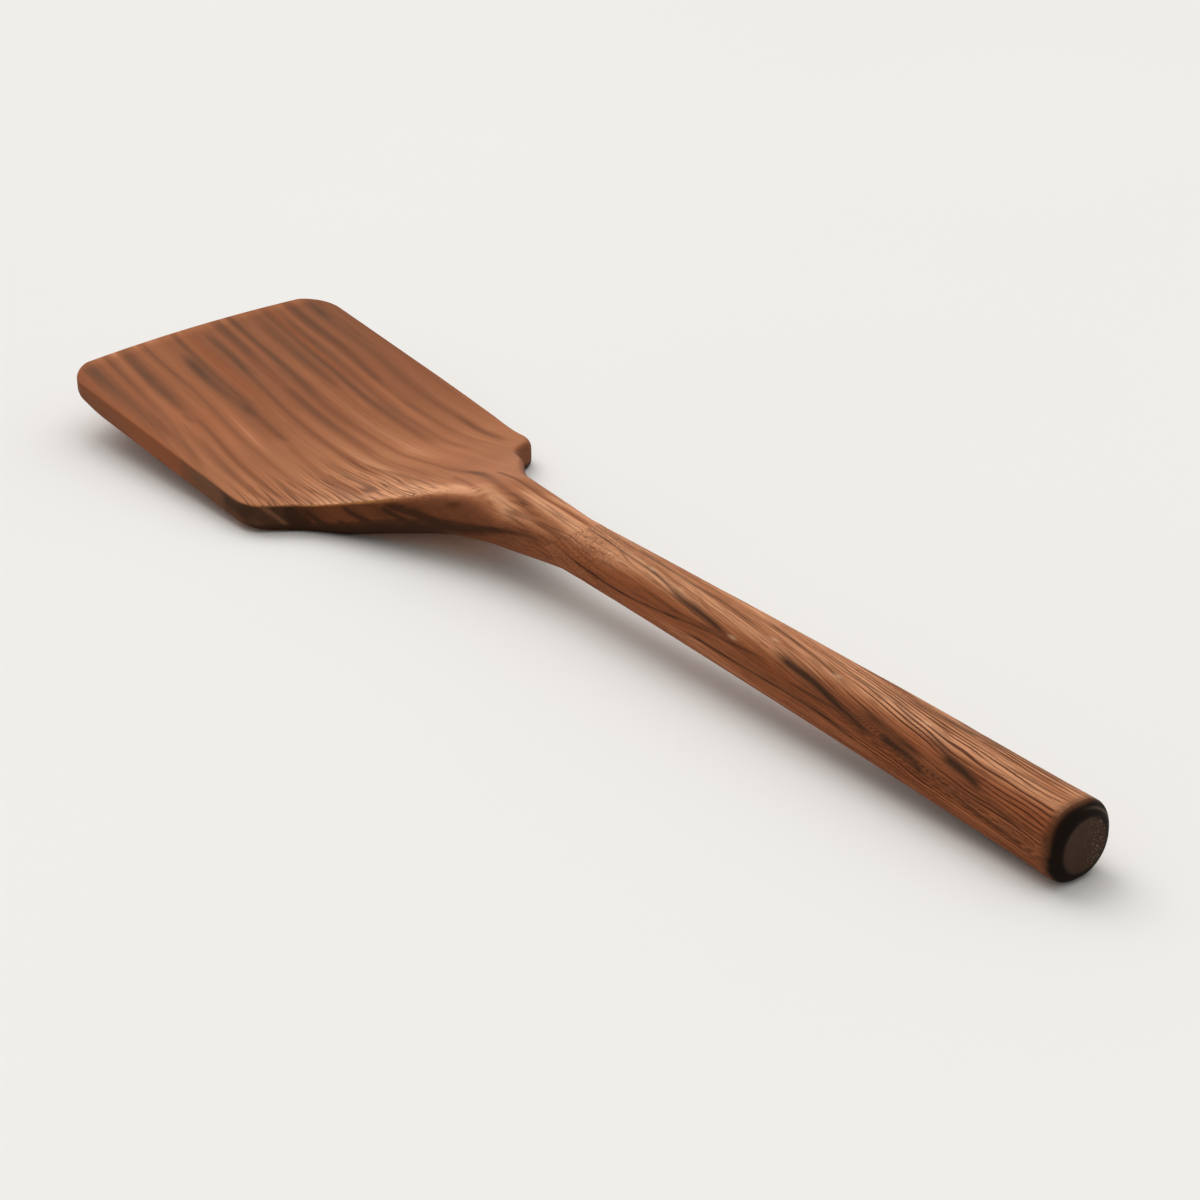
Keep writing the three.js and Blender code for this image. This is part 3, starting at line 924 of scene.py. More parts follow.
@dataclass
class Blade:
    """Flat blade with its shoulders and its cranked neck, cut from one board."""

    form: TurnerForm
    shift_x: float
    count: SectionCount = SectionCount(side=14, corner=7, flat=72)
    tip_edge_rows: int = 8
    tip_corner_rows: int = 26
    station_step: float = 0.65
    neck_step: float = 0.55
    least_step: float = 0.03
    joint_zone: float = 46.0
    joint_rows: int = 36
    span_lead: float = 2.0
    span_end: float = 84.0
    span_step: float = 1.0
    layer_lean: float = 0.75
    flow: Knots = ((-104, 0), (-80, -2.3), (-60, -3.6), (-35, -5.3), (-16, -4.2), (0, 0), (70, 0))
    fan_line: float = 11.0
    fan_run: Knots = ((-60, 0), (-35, 0.05), (-16, 0.12), (0, 0.29), (10, 0.32))
    flank_strands: Range = (1.5, 5.5)
    neck_zone: Zone = Zone((28, 50))
    neck_flank: Range = (8.6, 13.2)
    neck_turn: Shade = Shade(1.8, Zone((46, 58)))
    line_depth: float = 0.10
    wave_depth: float = 0.12
    waves: Waver = Waver(11, 26, 9, 0.5, (40, 40))
    wave_rim: Range = (0.6, 0.95)
    wave_tip: float = 12.0
    wave_end: Range = (50, 60)
    # Tone of the faces along the blade, rising towards the neck; its peak by the saddle is partly a painted
    # highlight.
    tone_run: Knots = (
        (-104, 0.50), (-80, 0.52), (-60, 0.57), (-35, 0.67), (-12, 0.83),
        (8, 0.93), (28, 1.0), (44, 0.97), (60, 0.92), (70, 0.92),
    )
    # Tone of the edges and flanks along the blade: partly darker wood, partly painted shade, darkest from the
    # shoulder into the neck.
    flank_tone_and_shade: Knots = (
        (-104, 0.28), (-96, 0.32), (-74, 0.34), (-60, 0.40), (-42, 0.40), (-39, 0.26),
        (-16, 0.20), (-11, 0.12), (-7, 0.0), (-2, -0.02), (8, 0.0), (18, 0.0),
        (26, 0.04), (40, 0.10), (52, 0.30), (60, 0.48), (70, 0.50),
    )
    layer_shake: Waver = Waver(3, 24, 5, 0.4)
    unevenness: Waver = Waver(4, 22, 3, 0.25)
    broad_layers: Waver = Waver(5, 40, 1.5, 0.06)
    fine_layers: Waver = Waver(6, 50, 0.6, 0.06, (30, 60), ceiling=0.4)
    calming: Shade = Shade(-0.5, Zone((-50, -15)))
    far_side: Shade = Shade(-0.08, Zone(fall=(-20, 5)), Zone((8, 24)))
    # Painted shade on the top by the neck: darker over its far part, the line moving out as the neck rises.
    neck_shade_shift: Shade = Shade(8.0, Zone((18, 42)))
    painted_neck_shade: Shade = Shade(-0.24, Zone((-16, 8), (46, 58)), Zone((-2, 7)))
    near_side: Shade = Shade(0.08, Zone((-90, -60)), Zone((8, 26)))
    near_shoulder: Shade = Shade(-0.12, Zone((-50, -25), (-8, 6)), Zone((8, 26)))
    far_shoulder: Shade = Shade(0.35, Zone((-30, -14), (20, 34)))
    flank_calm: float = 0.6
    # The heel fields paint shade: the rounded lower edges by the heel turn near black and less red.
    heel_middle: float = 0.6
    heel_reach: float = 0.55
    heel_shade_zone: Zone = Zone((-16, -8), (24, 44))
    heel_shade_tone: float = -0.15
    # Painted highlight: a lighter band along the tip's end.
    tip_highlight_lift: float = 0.28
    tip_highlight_fade: Range = (0.6, 5.5)
    dark_from: float = 0.12
    dark_span: float = 0.3
    red_least: float = 0.05
    red_tip: Shade = Shade(0.2, Zone(fall=(-60, -20)))
    red_layers: Waver = Waver(7, 40, 3, 0.2)
    red_light: Shade = Shade(0.5, Zone(fall=(-60, -20)), Zone((0.5, 0.8)))
    flank_reds: tuple[Shade, ...] = (
        Shade(0.9, Zone((-8, 2))), Shade(-0.2, Zone((40, 60))), Shade(0.5, Zone((-70, -60), (-44, -40))),
    )
    red_streaks: float = 0.6
    heel_shade_red_loss: float = 0.8
    # Painted highlight along the shoulder's upper arris.
    arris_strands: float = 1.1
    arris_zone: Zone = Zone((-16, -6), (12, 22))
    fine_least: float = 0.12
    fine_shoulder: Shade = Shade(1.0, Zone((-26, -8), (22, 34)), Zone(fall=(-4, 8)))
    fine_neck: Shade = Shade(0.6, Zone((40, 54)))

    def stations(self) -> Array:
        """Places of the sections from the tip to the start of the joint.

        Returns:
            Places along the turner, closest where the outline bends.
        """
        tip, form = self.form.tip_x, self.form
        edge = np.linspace(0, math.pi / 2, self.tip_edge_rows)
        corner = np.linspace(0, math.pi / 2, self.tip_corner_rows)
        places = [tip + form.tip_edge * (1 - np.cos(edge)), tip + form.tip_corner * (1 - np.cos(corner))]
        places.append(np.arange(tip + form.tip_corner, form.shoulder_start, self.station_step))
        places.append(np.arange(form.shoulder_start, 0, self.neck_step / 2))
        places.append(np.arange(0, self.joint_zone, self.neck_step))
        ordered = np.sort(np.concatenate(places))
        return ordered[np.append(True, np.diff(ordered) > self.least_step)]

    def grain(self, rings: Array) -> Array:
        """Grain places of surface points.

        Args:
            rings: the outer rings.

        Returns:
            Places along the grain, across its layers, and below the upper side.
        """
        x, y, z = np.moveaxis(rings, 2, 0)
        pitch = self.form.blade_pitch
        rise = z * math.cos(pitch) + x * math.sin(pitch)
        lean = self.layer_lean * (rise - self.form.blade_thickness)
        return np.stack([x, y + lean - through(self.flow, x), self.form.top(x) - z], 2)

    def fanned(self, along: Array, across: Array) -> Array:
        """Places across the grain that fan out towards the near shoulder, for the finest lines.

        Args:
            along: places along the grain.
            across: plain places across it.

        Returns:
            The fanned places across the grain.
        """
        share = through(self.fan_run, along)
        return across - np.minimum(across - self.fan_line, 0) * share / (1 + share)

    def flanks(self, rings: Array) -> Array:
        """Share of each point that lies on the edges and flanks.

        Args:
            rings: the outer rings.

        Returns:
            0 on the faces, 1 on the flanks.
        """
        x = rings[..., 0]
        strand = np.arange(self.count.total)
        away = np.minimum(strand, self.count.total - strand)
        away = np.minimum(away, np.abs(strand - self.count.half))
        first, last = self.flank_strands
        edge = 1 - smooth(self.count.side + first, self.count.side + last, away)
        round_x, _ = girth(rings, self.count)
        neck = self.neck_zone.at(x)
        return edge * (1 - neck) + smooth(*self.neck_flank, np.abs(round_x) + self.neck_turn.at(x)) * neck

    def shaded_lower_edges(self) -> Array:
        """Share of each strand that lies on the rounded lower edges, where painted shade darkens them by the
        heel.

        Returns:
            0 away from the edges, 1 on them.
        """
        strand = np.arange(self.count.total)
        near = (self.count.total - strand - self.count.side) / self.count.corner
        far = (strand - self.count.half - self.count.side) / self.count.corner
        near, far = (((way - self.heel_middle) / self.heel_reach) ** 4 for way in (near, far))
        return np.maximum(np.exp(-near), np.exp(-far))

    def build(self) -> bpy.types.Object:
        """Builds the blade's mesh and its measured values.

        Returns:
            The blade.
        """
        joint = WedgeJoint(self.form, self.count)
        span_places = np.arange(self.joint_zone - self.span_lead, self.span_end, self.span_step)
        span = self.form.sections(span_places, self.count)
        meet = joint.meet(span, -joint.glue_line)
        share = np.linspace(0, 1, self.joint_rows)[:, None]
        zone = along_strands(span, self.joint_zone + (meet[None] - self.joint_zone) * share)
        outer = np.concatenate([self.form.sections(self.stations(), self.count), zone])
        grain = self.grain(outer)
        figure, marks = self.figure(outer, grain)
        depth = self.line_depth * marks[..., 1] + self.wave_depth * self.wave(outer, grain)
        outer = outer - outward(outer) * depth[..., None]
        rings = list(outer) + joint.face(outer[-1], joint.dowel_start - joint.bore_gap)
        edge = len(outer) - 1
        loft = Loft(rings, LoftEnd.EDGE, LoftEnd.POLE, {edge, edge + 2, edge + 3})
        piece = loft.build("blade_wood", self.shift_x)
        grain[..., 1] = self.fanned(grain[..., 0], grain[..., 1])
        for name, rows in (("grain", grain), ("figure", figure), ("marks", marks)):
            loft.mark(piece, name, rows, 0)
        return piece

    def wave(self, rings: Array, grain: Array) -> Array:
        """Shallow hand-planed hollows of the upper side.

        Args:
            rings: the outer rings.
            grain: their grain places.

        Returns:
            Depth shares, fading out at the rims.
        """
        x, reach = rings[..., 0], np.abs(rings[..., 1])
        inner = 1 - smooth(*self.wave_rim, reach / np.maximum(reach.max(axis=1, keepdims=True), 1))
        ends = Zone((self.form.tip_x, self.form.tip_x + self.wave_tip), self.wave_end).at(x)
        return (0.5 + self.waves.at(x, grain[..., 1])) * inner * ends

    def figure(self, rings: Array, grain: Array) -> tuple[Array, Array]:
        """Stripes, red layers, painted shade and highlights, and shoulder lines of the blade's wood.

        Args:
            rings: the outer rings.
            grain: their grain places.

        Returns:
            Tone, darkness and redness; then the painted arris highlight, cut lines and fineness.
        """
        along, layer = grain[..., 0], grain[..., 1]
        flank = self.flanks(rings)
        heel = self.shaded_lower_edges() * self.heel_shade_zone.at(along)
        across = layer + self.layer_shake.at(along, layer)
        tone = self.tone(along, across, flank) + self.flank_tone(rings, grain, flank)
        # Painted shade: the rounded lower edges by the heel turn near black, through the dark share too.
        tone = tone * (1 - heel) + self.heel_shade_tone * heel
        # Painted highlight along the tip's end, kept off the flanks.
        station = rings[:, self.count.half // 2, 0][:, None]
        rim_start, rim_end = (self.form.tip_x + reach for reach in self.tip_highlight_fade)
        tone += self.tip_highlight_lift * (1 - smooth(rim_start, rim_end, station)) * (1 - flank)
        dark = smooth(0.0, self.dark_span, self.dark_from - tone)
        red = self.redness(along, across, tone, flank) * (1 - self.heel_shade_red_loss * heel)
        figure = np.stack([tone, dark, np.clip(red, 0, 1)], 2)
        return figure, self.marks(along, across, layer, flank)

    def tone(self, along: Array, across: Array, flank: Array) -> Array:
        """Tone of the blade's wood: its layers and broad zones, with painted shade on the flanks and over the
        neck's far top.

        Args:
            along: places along the grain.
            across: places across it.
            flank: share that lies on the flanks.

        Returns:
            The tone, 0 dark to 1 light.
        """
        spread = self.fanned(along, across)
        calm = 1 + self.calming.at(along)
        # The flanks take their own darker run of tone, partly painted shade.
        tone = through(self.tone_run, along) * (1 - flank) + through(self.flank_tone_and_shade, along) * flank
        tone += calm * (self.broad_layers.at(along, spread) + self.fine_layers.at(along, spread))
        tone += self.far_side.at(along, across)
        # Painted shade over the far part of the top by the neck.
        tone += self.painted_neck_shade.at(along, across - self.neck_shade_shift.at(along))
        tone += (self.near_side.at(along, -across) + self.near_shoulder.at(along, -across)) * (1 - flank)
        uneven = (1 + self.unevenness.at(along, across)) * (1 - self.flank_calm * flank)
        tone += uneven * sum(streak.lift * streak.at(along, across) for streak in BLADE_STREAKS)
        return tone + sum(spot.lift * spot.at(along, across) for spot in BLADE_SPOTS)

    def flank_tone(self, rings: Array, grain: Array, flank: Array) -> Array:
        """What the flanks add to the tone: their streaks, and the far shoulder's flank lifted lighter than
        the flanks' painted shade.

        Args:
            rings: the outer rings.
            grain: their grain places.
            flank: share that lies on the flanks.

        Returns:
            The added tone.
        """
        along, layer = grain[..., 0], grain[..., 1]
        added = (rings[..., 1] > 0) * self.far_shoulder.at(along)
        return flank * (added + sum(streak.lift * streak.at(along, layer) for streak in FLANK_STREAKS))

    def redness(self, along: Array, across: Array, tone: Array, flank: Array) -> Array:
        """Redder layers of the wood.

        Args:
            along: places along the grain.
            across: places across it.
            tone: the tone there.
            flank: share that lies on the flanks.

        Returns:
            The redness before it is held between 0 and 1.
        """
        red = self.red_least + self.red_tip.at(along) + self.red_layers.at(along, across)
        red += self.red_light.at(along, tone) * (1 - flank)
        red += flank * sum(shade.at(along) for shade in self.flank_reds)
        return red + self.red_streaks * sum(streak.lift * streak.at(along, across) for streak in BLADE_REDS)

    def marks(self, along: Array, across: Array, layer: Array, flank: Array) -> Array:
        """Painted highlight along the shoulder's upper arris, cut lines and fineness of the wood's lines.

        Args:
            along: places along the grain.
            across: uneven places across it.
            layer: even places across it.
            flank: share that lies on the flanks.

        Returns:
            The three values at each place.
        """
        strand = np.arange(self.count.total)
        upper = strand < self.count.half
        lines = np.max([line.lift * line.at(along, layer) for line in SHOULDER_LINES], axis=0) * upper
        # A painted highlight along the upper arris of the shoulder.
        arris = self.count.side + self.count.corner / 2
        edge = np.exp(-(((strand - arris) / self.arris_strands) ** 2)) * self.arris_zone.at(along)
        shoulder = self.fine_shoulder.at(along, across) * upper * (1 - flank)
        fine = self.fine_least + (1 - self.fine_least) * np.maximum(shoulder, self.fine_neck.at(along))
        return np.stack([edge, lines, fine], 2)

    def dress(self, piece: bpy.types.Object) -> None:
        """Gives the blade its finish and its place in the part.

        Args:
            piece: the object that was built.
        """
        piece.data.materials.append(StripedWood().make())
        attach(piece, BODY)
        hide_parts("blade")


HANDLE_GUIDES: tuple[Knots, ...] = (
    ((56, -13.0), (120, -7.4), (150, -4.4), (175, -1.9), (190, -0.8), (216, -0.2)),
    ((56, -9.5), (110, -4.9), (143, -1.1), (157, 0.4), (174, 2.7), (189, 5.0), (216, 6.0)),
    ((56, -7.5), (100, -3.4), (129, -0.7), (147, 1.6), (159, 4.1), (175, 6.2), (216, 9.0)),
    ((56, -4.0), (86, -1.4), (102, -0.1), (130, 2.4), (145, 4.5), (160, 7.0), (190, 11.0), (216, 13.0)),
    ((56, -0.6), (85, 1.9), (105, 4.6), (125, 7.4), (140, 9.0), (165, 11.6), (216, 15.5)),
    ((56, 9.5), (72, 10.9), (90, 11.1), (112, 10.4), (130, 11.9), (144, 12.6), (165, 14.4), (216, 19.0)),
)
HANDLE_STREAKS: tuple[Streak, ...] = (
    Streak(((56, -0.6), (72, 0.6), (85, 1.9), (95, 2.9), (105, 4.6), (118, 6.4)), 0.35, 0.75),
    Streak(((100, 3.8), (110, 5.4), (118, 6.4), (127, 7.6)), 0.8, 0.75),
    Streak(((84, -1.6), (102, -0.1), (115, 0.4), (132, 2.6)), 0.45, 0.55),
    Streak(((127, -1.1), (138, 0.1), (147, 1.6), (161, 4.3)), 0.35, 0.65),
    Streak(((141, -1.2), (151, -0.7), (157, 0.6), (167, 1.4), (174, 2.9), (182, 3.9)), 0.4, 0.55),
    Streak(((178, 3.4), (184, 4.8), (189, 6.4), (200, 8.5)), 0.85, 0.7),
    Streak(((136, 5.2), (151, 6.9), (159, 8.6), (164, 9.6), (172, 10.6)), 0.95, 1.0),
    Streak(((162, 6.2), (174, 7.9), (186, 9.2)), 0.75, 0.7),
    Streak(((170, 9.2), (175, 9.8), (179, 10.5), (185, 12.6)), 0.95, 1.0, 3),
    Streak(((185, 6.4), (190, 7.0), (194, 7.6), (200, 8.7)), 1.1, 1.0, 4),
    Streak(((199, 9.7), (208, 11.4), (213, 12.3)), 0.4, 0.7),
    Streak(((68, 10.8), (80, 11.0), (90, 11.1), (100, 10.4), (114, 9.0)), 0.28, 1.0),
    Streak(((100, 10.4), (114, 9.0), (128, 8.2), (140, 7.7)), 0.35, 0.6),
    Streak(((110, 11.6), (130, 11.9), (144, 12.1), (167, 13.0)), 0.32, 0.9),
    Streak(((92, 7.5), (112, 8.2), (126, 7.9)), 0.35, 0.6),
    Streak(((142, 9.6), (156, 9.4), (166, 10.2)), 0.35, 0.6),
    Streak(((168, -0.8), (176, -1.6), (184, -2.0), (193, -3.0)), 0.9, 0.6),
    Streak(((178, -3.6), (192, -4.4), (204, -4.6), (216, -4.8)), 1.5, 0.6, 8),
    Streak(((194, -2.4), (206, -3.0), (214, -3.2)), 0.4, 0.6),
    Streak(((192, 1.6), (204, 1.3), (216, 1.2)), 0.3, 0.5),
    Streak(((188, 12.0), (200, 13.6), (212, 14.8)), 0.4, 0.6),
    Streak(((70, -8.0), (95, -6.0), (125, -3.4)), 0.5, 0.5),
    Streak(((100, -9.5), (135, -7.0), (170, -3.6)), 0.5, 0.6),
    Streak(((150, -9.0), (180, -6.6), (205, -5.8)), 0.7, 0.7),
    Streak(((76, -13.5), (110, -12.4), (150, -11.0)), 0.45, 0.8),
    Streak(((130, -15.0), (165, -13.6), (212, -12.4)), 0.5, 0.8),
    Streak(((72, 16.0), (110, 16.4), (150, 17.6)), 0.4, 0.8),
    Streak(((120, 20.0), (170, 21.0), (212, 22.0)), 0.5, 0.8),
    Streak(((90, -18.5), (140, -18.0), (200, -20.0)), 0.5, 0.7),
)
HANDLE_KNOTS: tuple[Spot, ...] = (
    Spot(82.5, 3.9, 0.9, 0.3, 1.0),
    Spot(86.0, 4.6, 0.9, 0.3, 0.8),
    Spot(95.5, 2.4, 1.1, 0.35, 1.0),
    Spot(106.0, 3.4, 1.0, 0.35, 1.0),
    Spot(126.0, 7.1, 1.3, 0.35, 1.0),
    Spot(135.5, 2.9, 1.2, 0.35, 1.0),
    Spot(154.5, 3.1, 1.1, 0.4, 1.0),
    Spot(179.0, 2.1, 1.2, 0.4, 1.0),
)


@dataclass
class Handle:
    """Tapered brushed grip with its wedge end, bored for the dowel and for the cap's tenon."""

    form: TurnerForm
    shift_x: float
    count: SectionCount = ROUND_COUNT
    span_start: float = 58.0
    span_step: float = 0.5
    start_zone: float = 86.0
    start_rows: int = 46
    station_step: float = 0.42
    tenon_radius: float = 3.8
    tenon_depth: float = 12.3
    grain_girth: float = 46.0
    guide_place: float = 140.0
    groove_count: int = 62
    groove_depth: float = 0.10
    groove_wander: tuple[RoundWaver, ...] = (RoundWaver(21, 16, 12, 0.75), RoundWaver(22, 7, 30, 0.40))
    groove_strength: RoundWaver = RoundWaver(23, 18, groove_count, 0.5)
    groove_least: float = 0.25
    brushed_least: float = 0.40
    brushed_run: Range = (130, 180)
    cap_fade: float = 2.5
    cap_fade_share: float = 0.8
    streak_depth: float = 0.16
    streak_unevenness: RoundWaver = RoundWaver(24, 6, 30, 0.35)
    streak_shake: RoundWaver = RoundWaver(25, 9, 14, 0.25)
    streak_groove_loss: float = 0.6
    wave_depth: float = 0.12
    waves: RoundWaver = RoundWaver(29, 34, 9, 0.5)
    wave_zone: Zone = Zone((64, 74), (208, 215))
    meet_fade: float = 3.0
    tone_start: float = 0.99
    tone_shades: tuple[Shade, ...] = (Shade(-0.09, Zone((70, 100))), Shade(0.06, Zone((140, 185))))
    tone_layers: tuple[RoundWaver, ...] = (RoundWaver(26, 30, 16, 0.13), RoundWaver(27, 20, 44, 0.10))
    fresh_least: float = 0.3
    fresh_length: float = 14.0
    # turn_shades to low_light paint shade on the handle's sides: deeper on the near side and towards the
    # butt, lighter again on the lowest near band.
    turn_shades: tuple[Shade, ...] = (Shade(-2.5, Zone(fall=(66, 100))), Shade(1.2, Zone((120, 175))))
    turn_zone: Zone = Zone((4.0, 9.5))
    near_side_shade: float = 0.40
    near_shade_deepening: Shade = Shade(0.10, Zone((130, 180)))
    far_side_shade: float = 0.30
    low_light: Shade = Shade(0.18, Zone((9.5, 13)))
    orange: RoundWaver = RoundWaver(30, 22, 46, 1.0)
    orange_range: Range = (0.25, 0.6)
    orange_zone: Zone = Zone((5, 9))
    orange_tone: float = 0.16
    orange_red: float = 0.4
    red_least: float = 0.14
    red_layers: RoundWaver = RoundWaver(28, 36, 20, 0.25)
    red_turned: Shade = Shade(0.60, Zone((2.5, 8)))
    char_length: float = 2.3
    char_share: float = 0.62

    def build(self) -> bpy.types.Object:
        """Builds the handle's mesh and its measured values.

        Returns:
            The handle.
        """
        form = self.form
        joint = WedgeJoint(form, self.count)
        span_places = np.arange(self.span_start, form.cap_x + self.span_step, self.span_step)
        span = form.sections(span_places, self.count)
        meet = joint.meet(span, 0.0)
        share = np.linspace(0, 1, self.start_rows)[:, None]
        start = meet[None] + (self.start_zone - meet[None]) * share
        steps = int((form.cap_x - self.start_zone) / self.station_step)
        rest = np.linspace(self.start_zone, form.cap_x, steps)[1:, None]
        places = np.concatenate([start, np.broadcast_to(rest, (len(rest), len(meet)))])
        outer = along_strands(span, places)
        round_x, half_girth = girth(outer, self.count)
        lines = self.grain(np.linspace(form.joint_x, form.cap_x, len(outer)), round_x, half_girth)
        figure, marks, depth = self.figure(outer[..., 0], round_x, lines)
        outer = outer - outward(outer) * depth[..., None]
        lead = joint.face(outer[0], joint.dowel_end + joint.bore_gap)[::-1]
        rings = lead + list(outer) + self.tenon_bore(outer[-1])
        last = len(lead) + len(outer) - 1
        loft = Loft(rings, LoftEnd.POLE, LoftEnd.POLE, {0, 1, len(lead), last, last + 1, last + 2})
        piece = loft.build("handle_wood", self.shift_x)
        grain = self.around(outer[..., 0], lines)
        for name, rows in (("grain", grain), ("figure", figure), ("marks", marks)):
            loft.mark(piece, name, rows, len(lead))
        return piece

    def tenon_bore(self, rim: Array) -> list[Array]:
        """Flat butt and the bore for the cap's tenon.

        Args:
            rim: the handle's last outer ring.

        Returns:
            Rings from the bore's mouth to its end.
        """
        middle = float(self.form.height(self.form.cap_x))
        mouth = round_ring(rim, middle, self.tenon_radius, rim[:, 0], middle)
        end = mouth.copy()
        end[:, 0] -= self.tenon_depth
        end[:, 2] += float(self.form.height(end[0, 0])) - middle
        return [mouth, end]

    def grain(self, places: Array, round_x: Array, half_girth: Array) -> Array:
        """Grain lines, which wind slowly over the top to the near side.

        Args:
            places: place of each ring along the turner.
            round_x: signed distances round the section.
            half_girth: half the girth of each ring.

        Returns:
            The grain line that runs through each point.
        """
        half = self.grain_girth / 2
        labels = [float(through(guide, self.guide_place)) for guide in HANDLE_GUIDES]
        found = np.empty_like(round_x)
        for row, x in enumerate(places):
            lines = [float(through(guide, x)) for guide in HANDLE_GUIDES]
            stops = [-half_girth[row], *lines, half_girth[row]]
            found[row] = np.interp(round_x[row], stops, [-half, *labels, half])
        return found

    def around(self, along: Array, lines: Array) -> Array:
        """Places of the grain lines on a round stick, so that the grain has no seam.

        Args:
            along: places along the turner.
            lines: grain lines.

        Returns:
            Places for the finish, in millimetres.
        """
        radius = self.grain_girth / (2 * math.pi)
        return np.stack([along, radius * np.cos(lines / radius), radius * np.sin(lines / radius)], 2)

    def grooves(self, x: Array, lines: Array) -> Array:
        """Brushed grooves, which follow the grain lines.

        Args:
            x: places along the turner.
            lines: grain lines.

        Returns:
            1 in the grooves and 0 between them.
        """
        turn = lines / self.grain_girth
        wander = sum(waver.at(x, turn) for waver in self.groove_wander)
        comb = np.sin(2 * math.pi * (turn * self.groove_count + wander))
        strong = 0.5 + self.groove_strength.at(x, turn)
        brushed = self.brushed_least + (1 - self.brushed_least) * smooth(*self.brushed_run, x)
        fading = self.cap_fade_share * smooth(self.form.cap_x - self.cap_fade, self.form.cap_x, x)
        return smooth(0.0, 1.0, comb) * np.clip(self.groove_least + strong, 0, 1) * brushed * (1 - fading)

    def figure(self, x: Array, round_x: Array, lines: Array) -> tuple[Array, Array, Array]:
        """Streaks, brushed grooves, knots and the darkened butt of the handle's wood.

        Args:
            x: places along the turner.
            round_x: signed distances round the section.
            lines: grain lines.

        Returns:
            Tone, darkness and redness; char, groove and knot; and the depth to carve.
        """
        turn = lines / self.grain_girth
        uneven = 1 + self.streak_unevenness.at(x, turn)
        shake = round_x + self.streak_shake.at(x, turn)
        streaks = [streak.lift * uneven * streak.at(x, shake) for streak in HANDLE_STREAKS]
        dark = np.clip(np.max(streaks, axis=0), 0, 1)
        knot = np.max([spot.lift * spot.at(x, round_x) for spot in HANDLE_KNOTS], axis=0)
        groove = self.grooves(x, lines) * (1 - self.streak_groove_loss * dark)
        char = self.char_share * smooth(self.form.cap_x - self.char_length, self.form.cap_x, x)
        depth = self.groove_depth * groove + self.streak_depth * dark
        depth += self.wave_depth * (0.5 + self.waves.at(x, turn)) * self.wave_zone.at(x)
        depth *= smooth(0, self.meet_fade, x - x[:1])
        tone, red = self.tone_and_red(x, round_x, turn)
        return np.stack([tone, dark, red], 2), np.stack([char, groove, knot], 2), depth

    def tone_and_red(self, x: Array, round_x: Array, turn: Array) -> tuple[Array, Array]:
        """Tone and redness of the handle's wood, with painted shade darkening its sides.

        Args:
            x: places along the turner.
            round_x: signed distances round the section.
            turn: share of the girth that each grain line lies at.

        Returns:
            The tone, and the redness between 0 and 1.
        """
        fresh = self.fresh_least + (1 - self.fresh_least) * smooth(0, self.fresh_length, x - x[:1])
        tone = self.tone_start + sum(shade.at(x) for shade in self.tone_shades)
        tone += fresh * sum(waver.at(x, turn) for waver in self.tone_layers)
        # Painted shade on the handle's sides.
        turned = np.abs(round_x) + sum(shade.at(x) for shade in self.turn_shades)
        painted_side_shade = np.where(round_x > 0, self.near_side_shade + self.near_shade_deepening.at(x), self.far_side_shade)
        tone -= painted_side_shade * self.turn_zone.at(turned)
        orange = smooth(*self.orange_range, self.orange.at(x, turn)) * self.orange_zone.at(round_x)
        # The lowest band of the near side is lifted lighter again, part of the painted side shading.
        tone += self.low_light.at(round_x) + self.orange_tone * orange
        red = self.red_least + self.red_layers.at(x, turn)
        red += self.red_turned.at(np.abs(round_x)) + self.orange_red * orange
        return tone, np.clip(red, 0, 1)

    def dress(self, piece: bpy.types.Object) -> None:
        """Gives the handle its finish and its place in the part.

        Args:
            piece: the object that was built.
        """
        piece.data.materials.append(BrushedWood().make())
        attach(piece, BODY)
        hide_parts("handle")


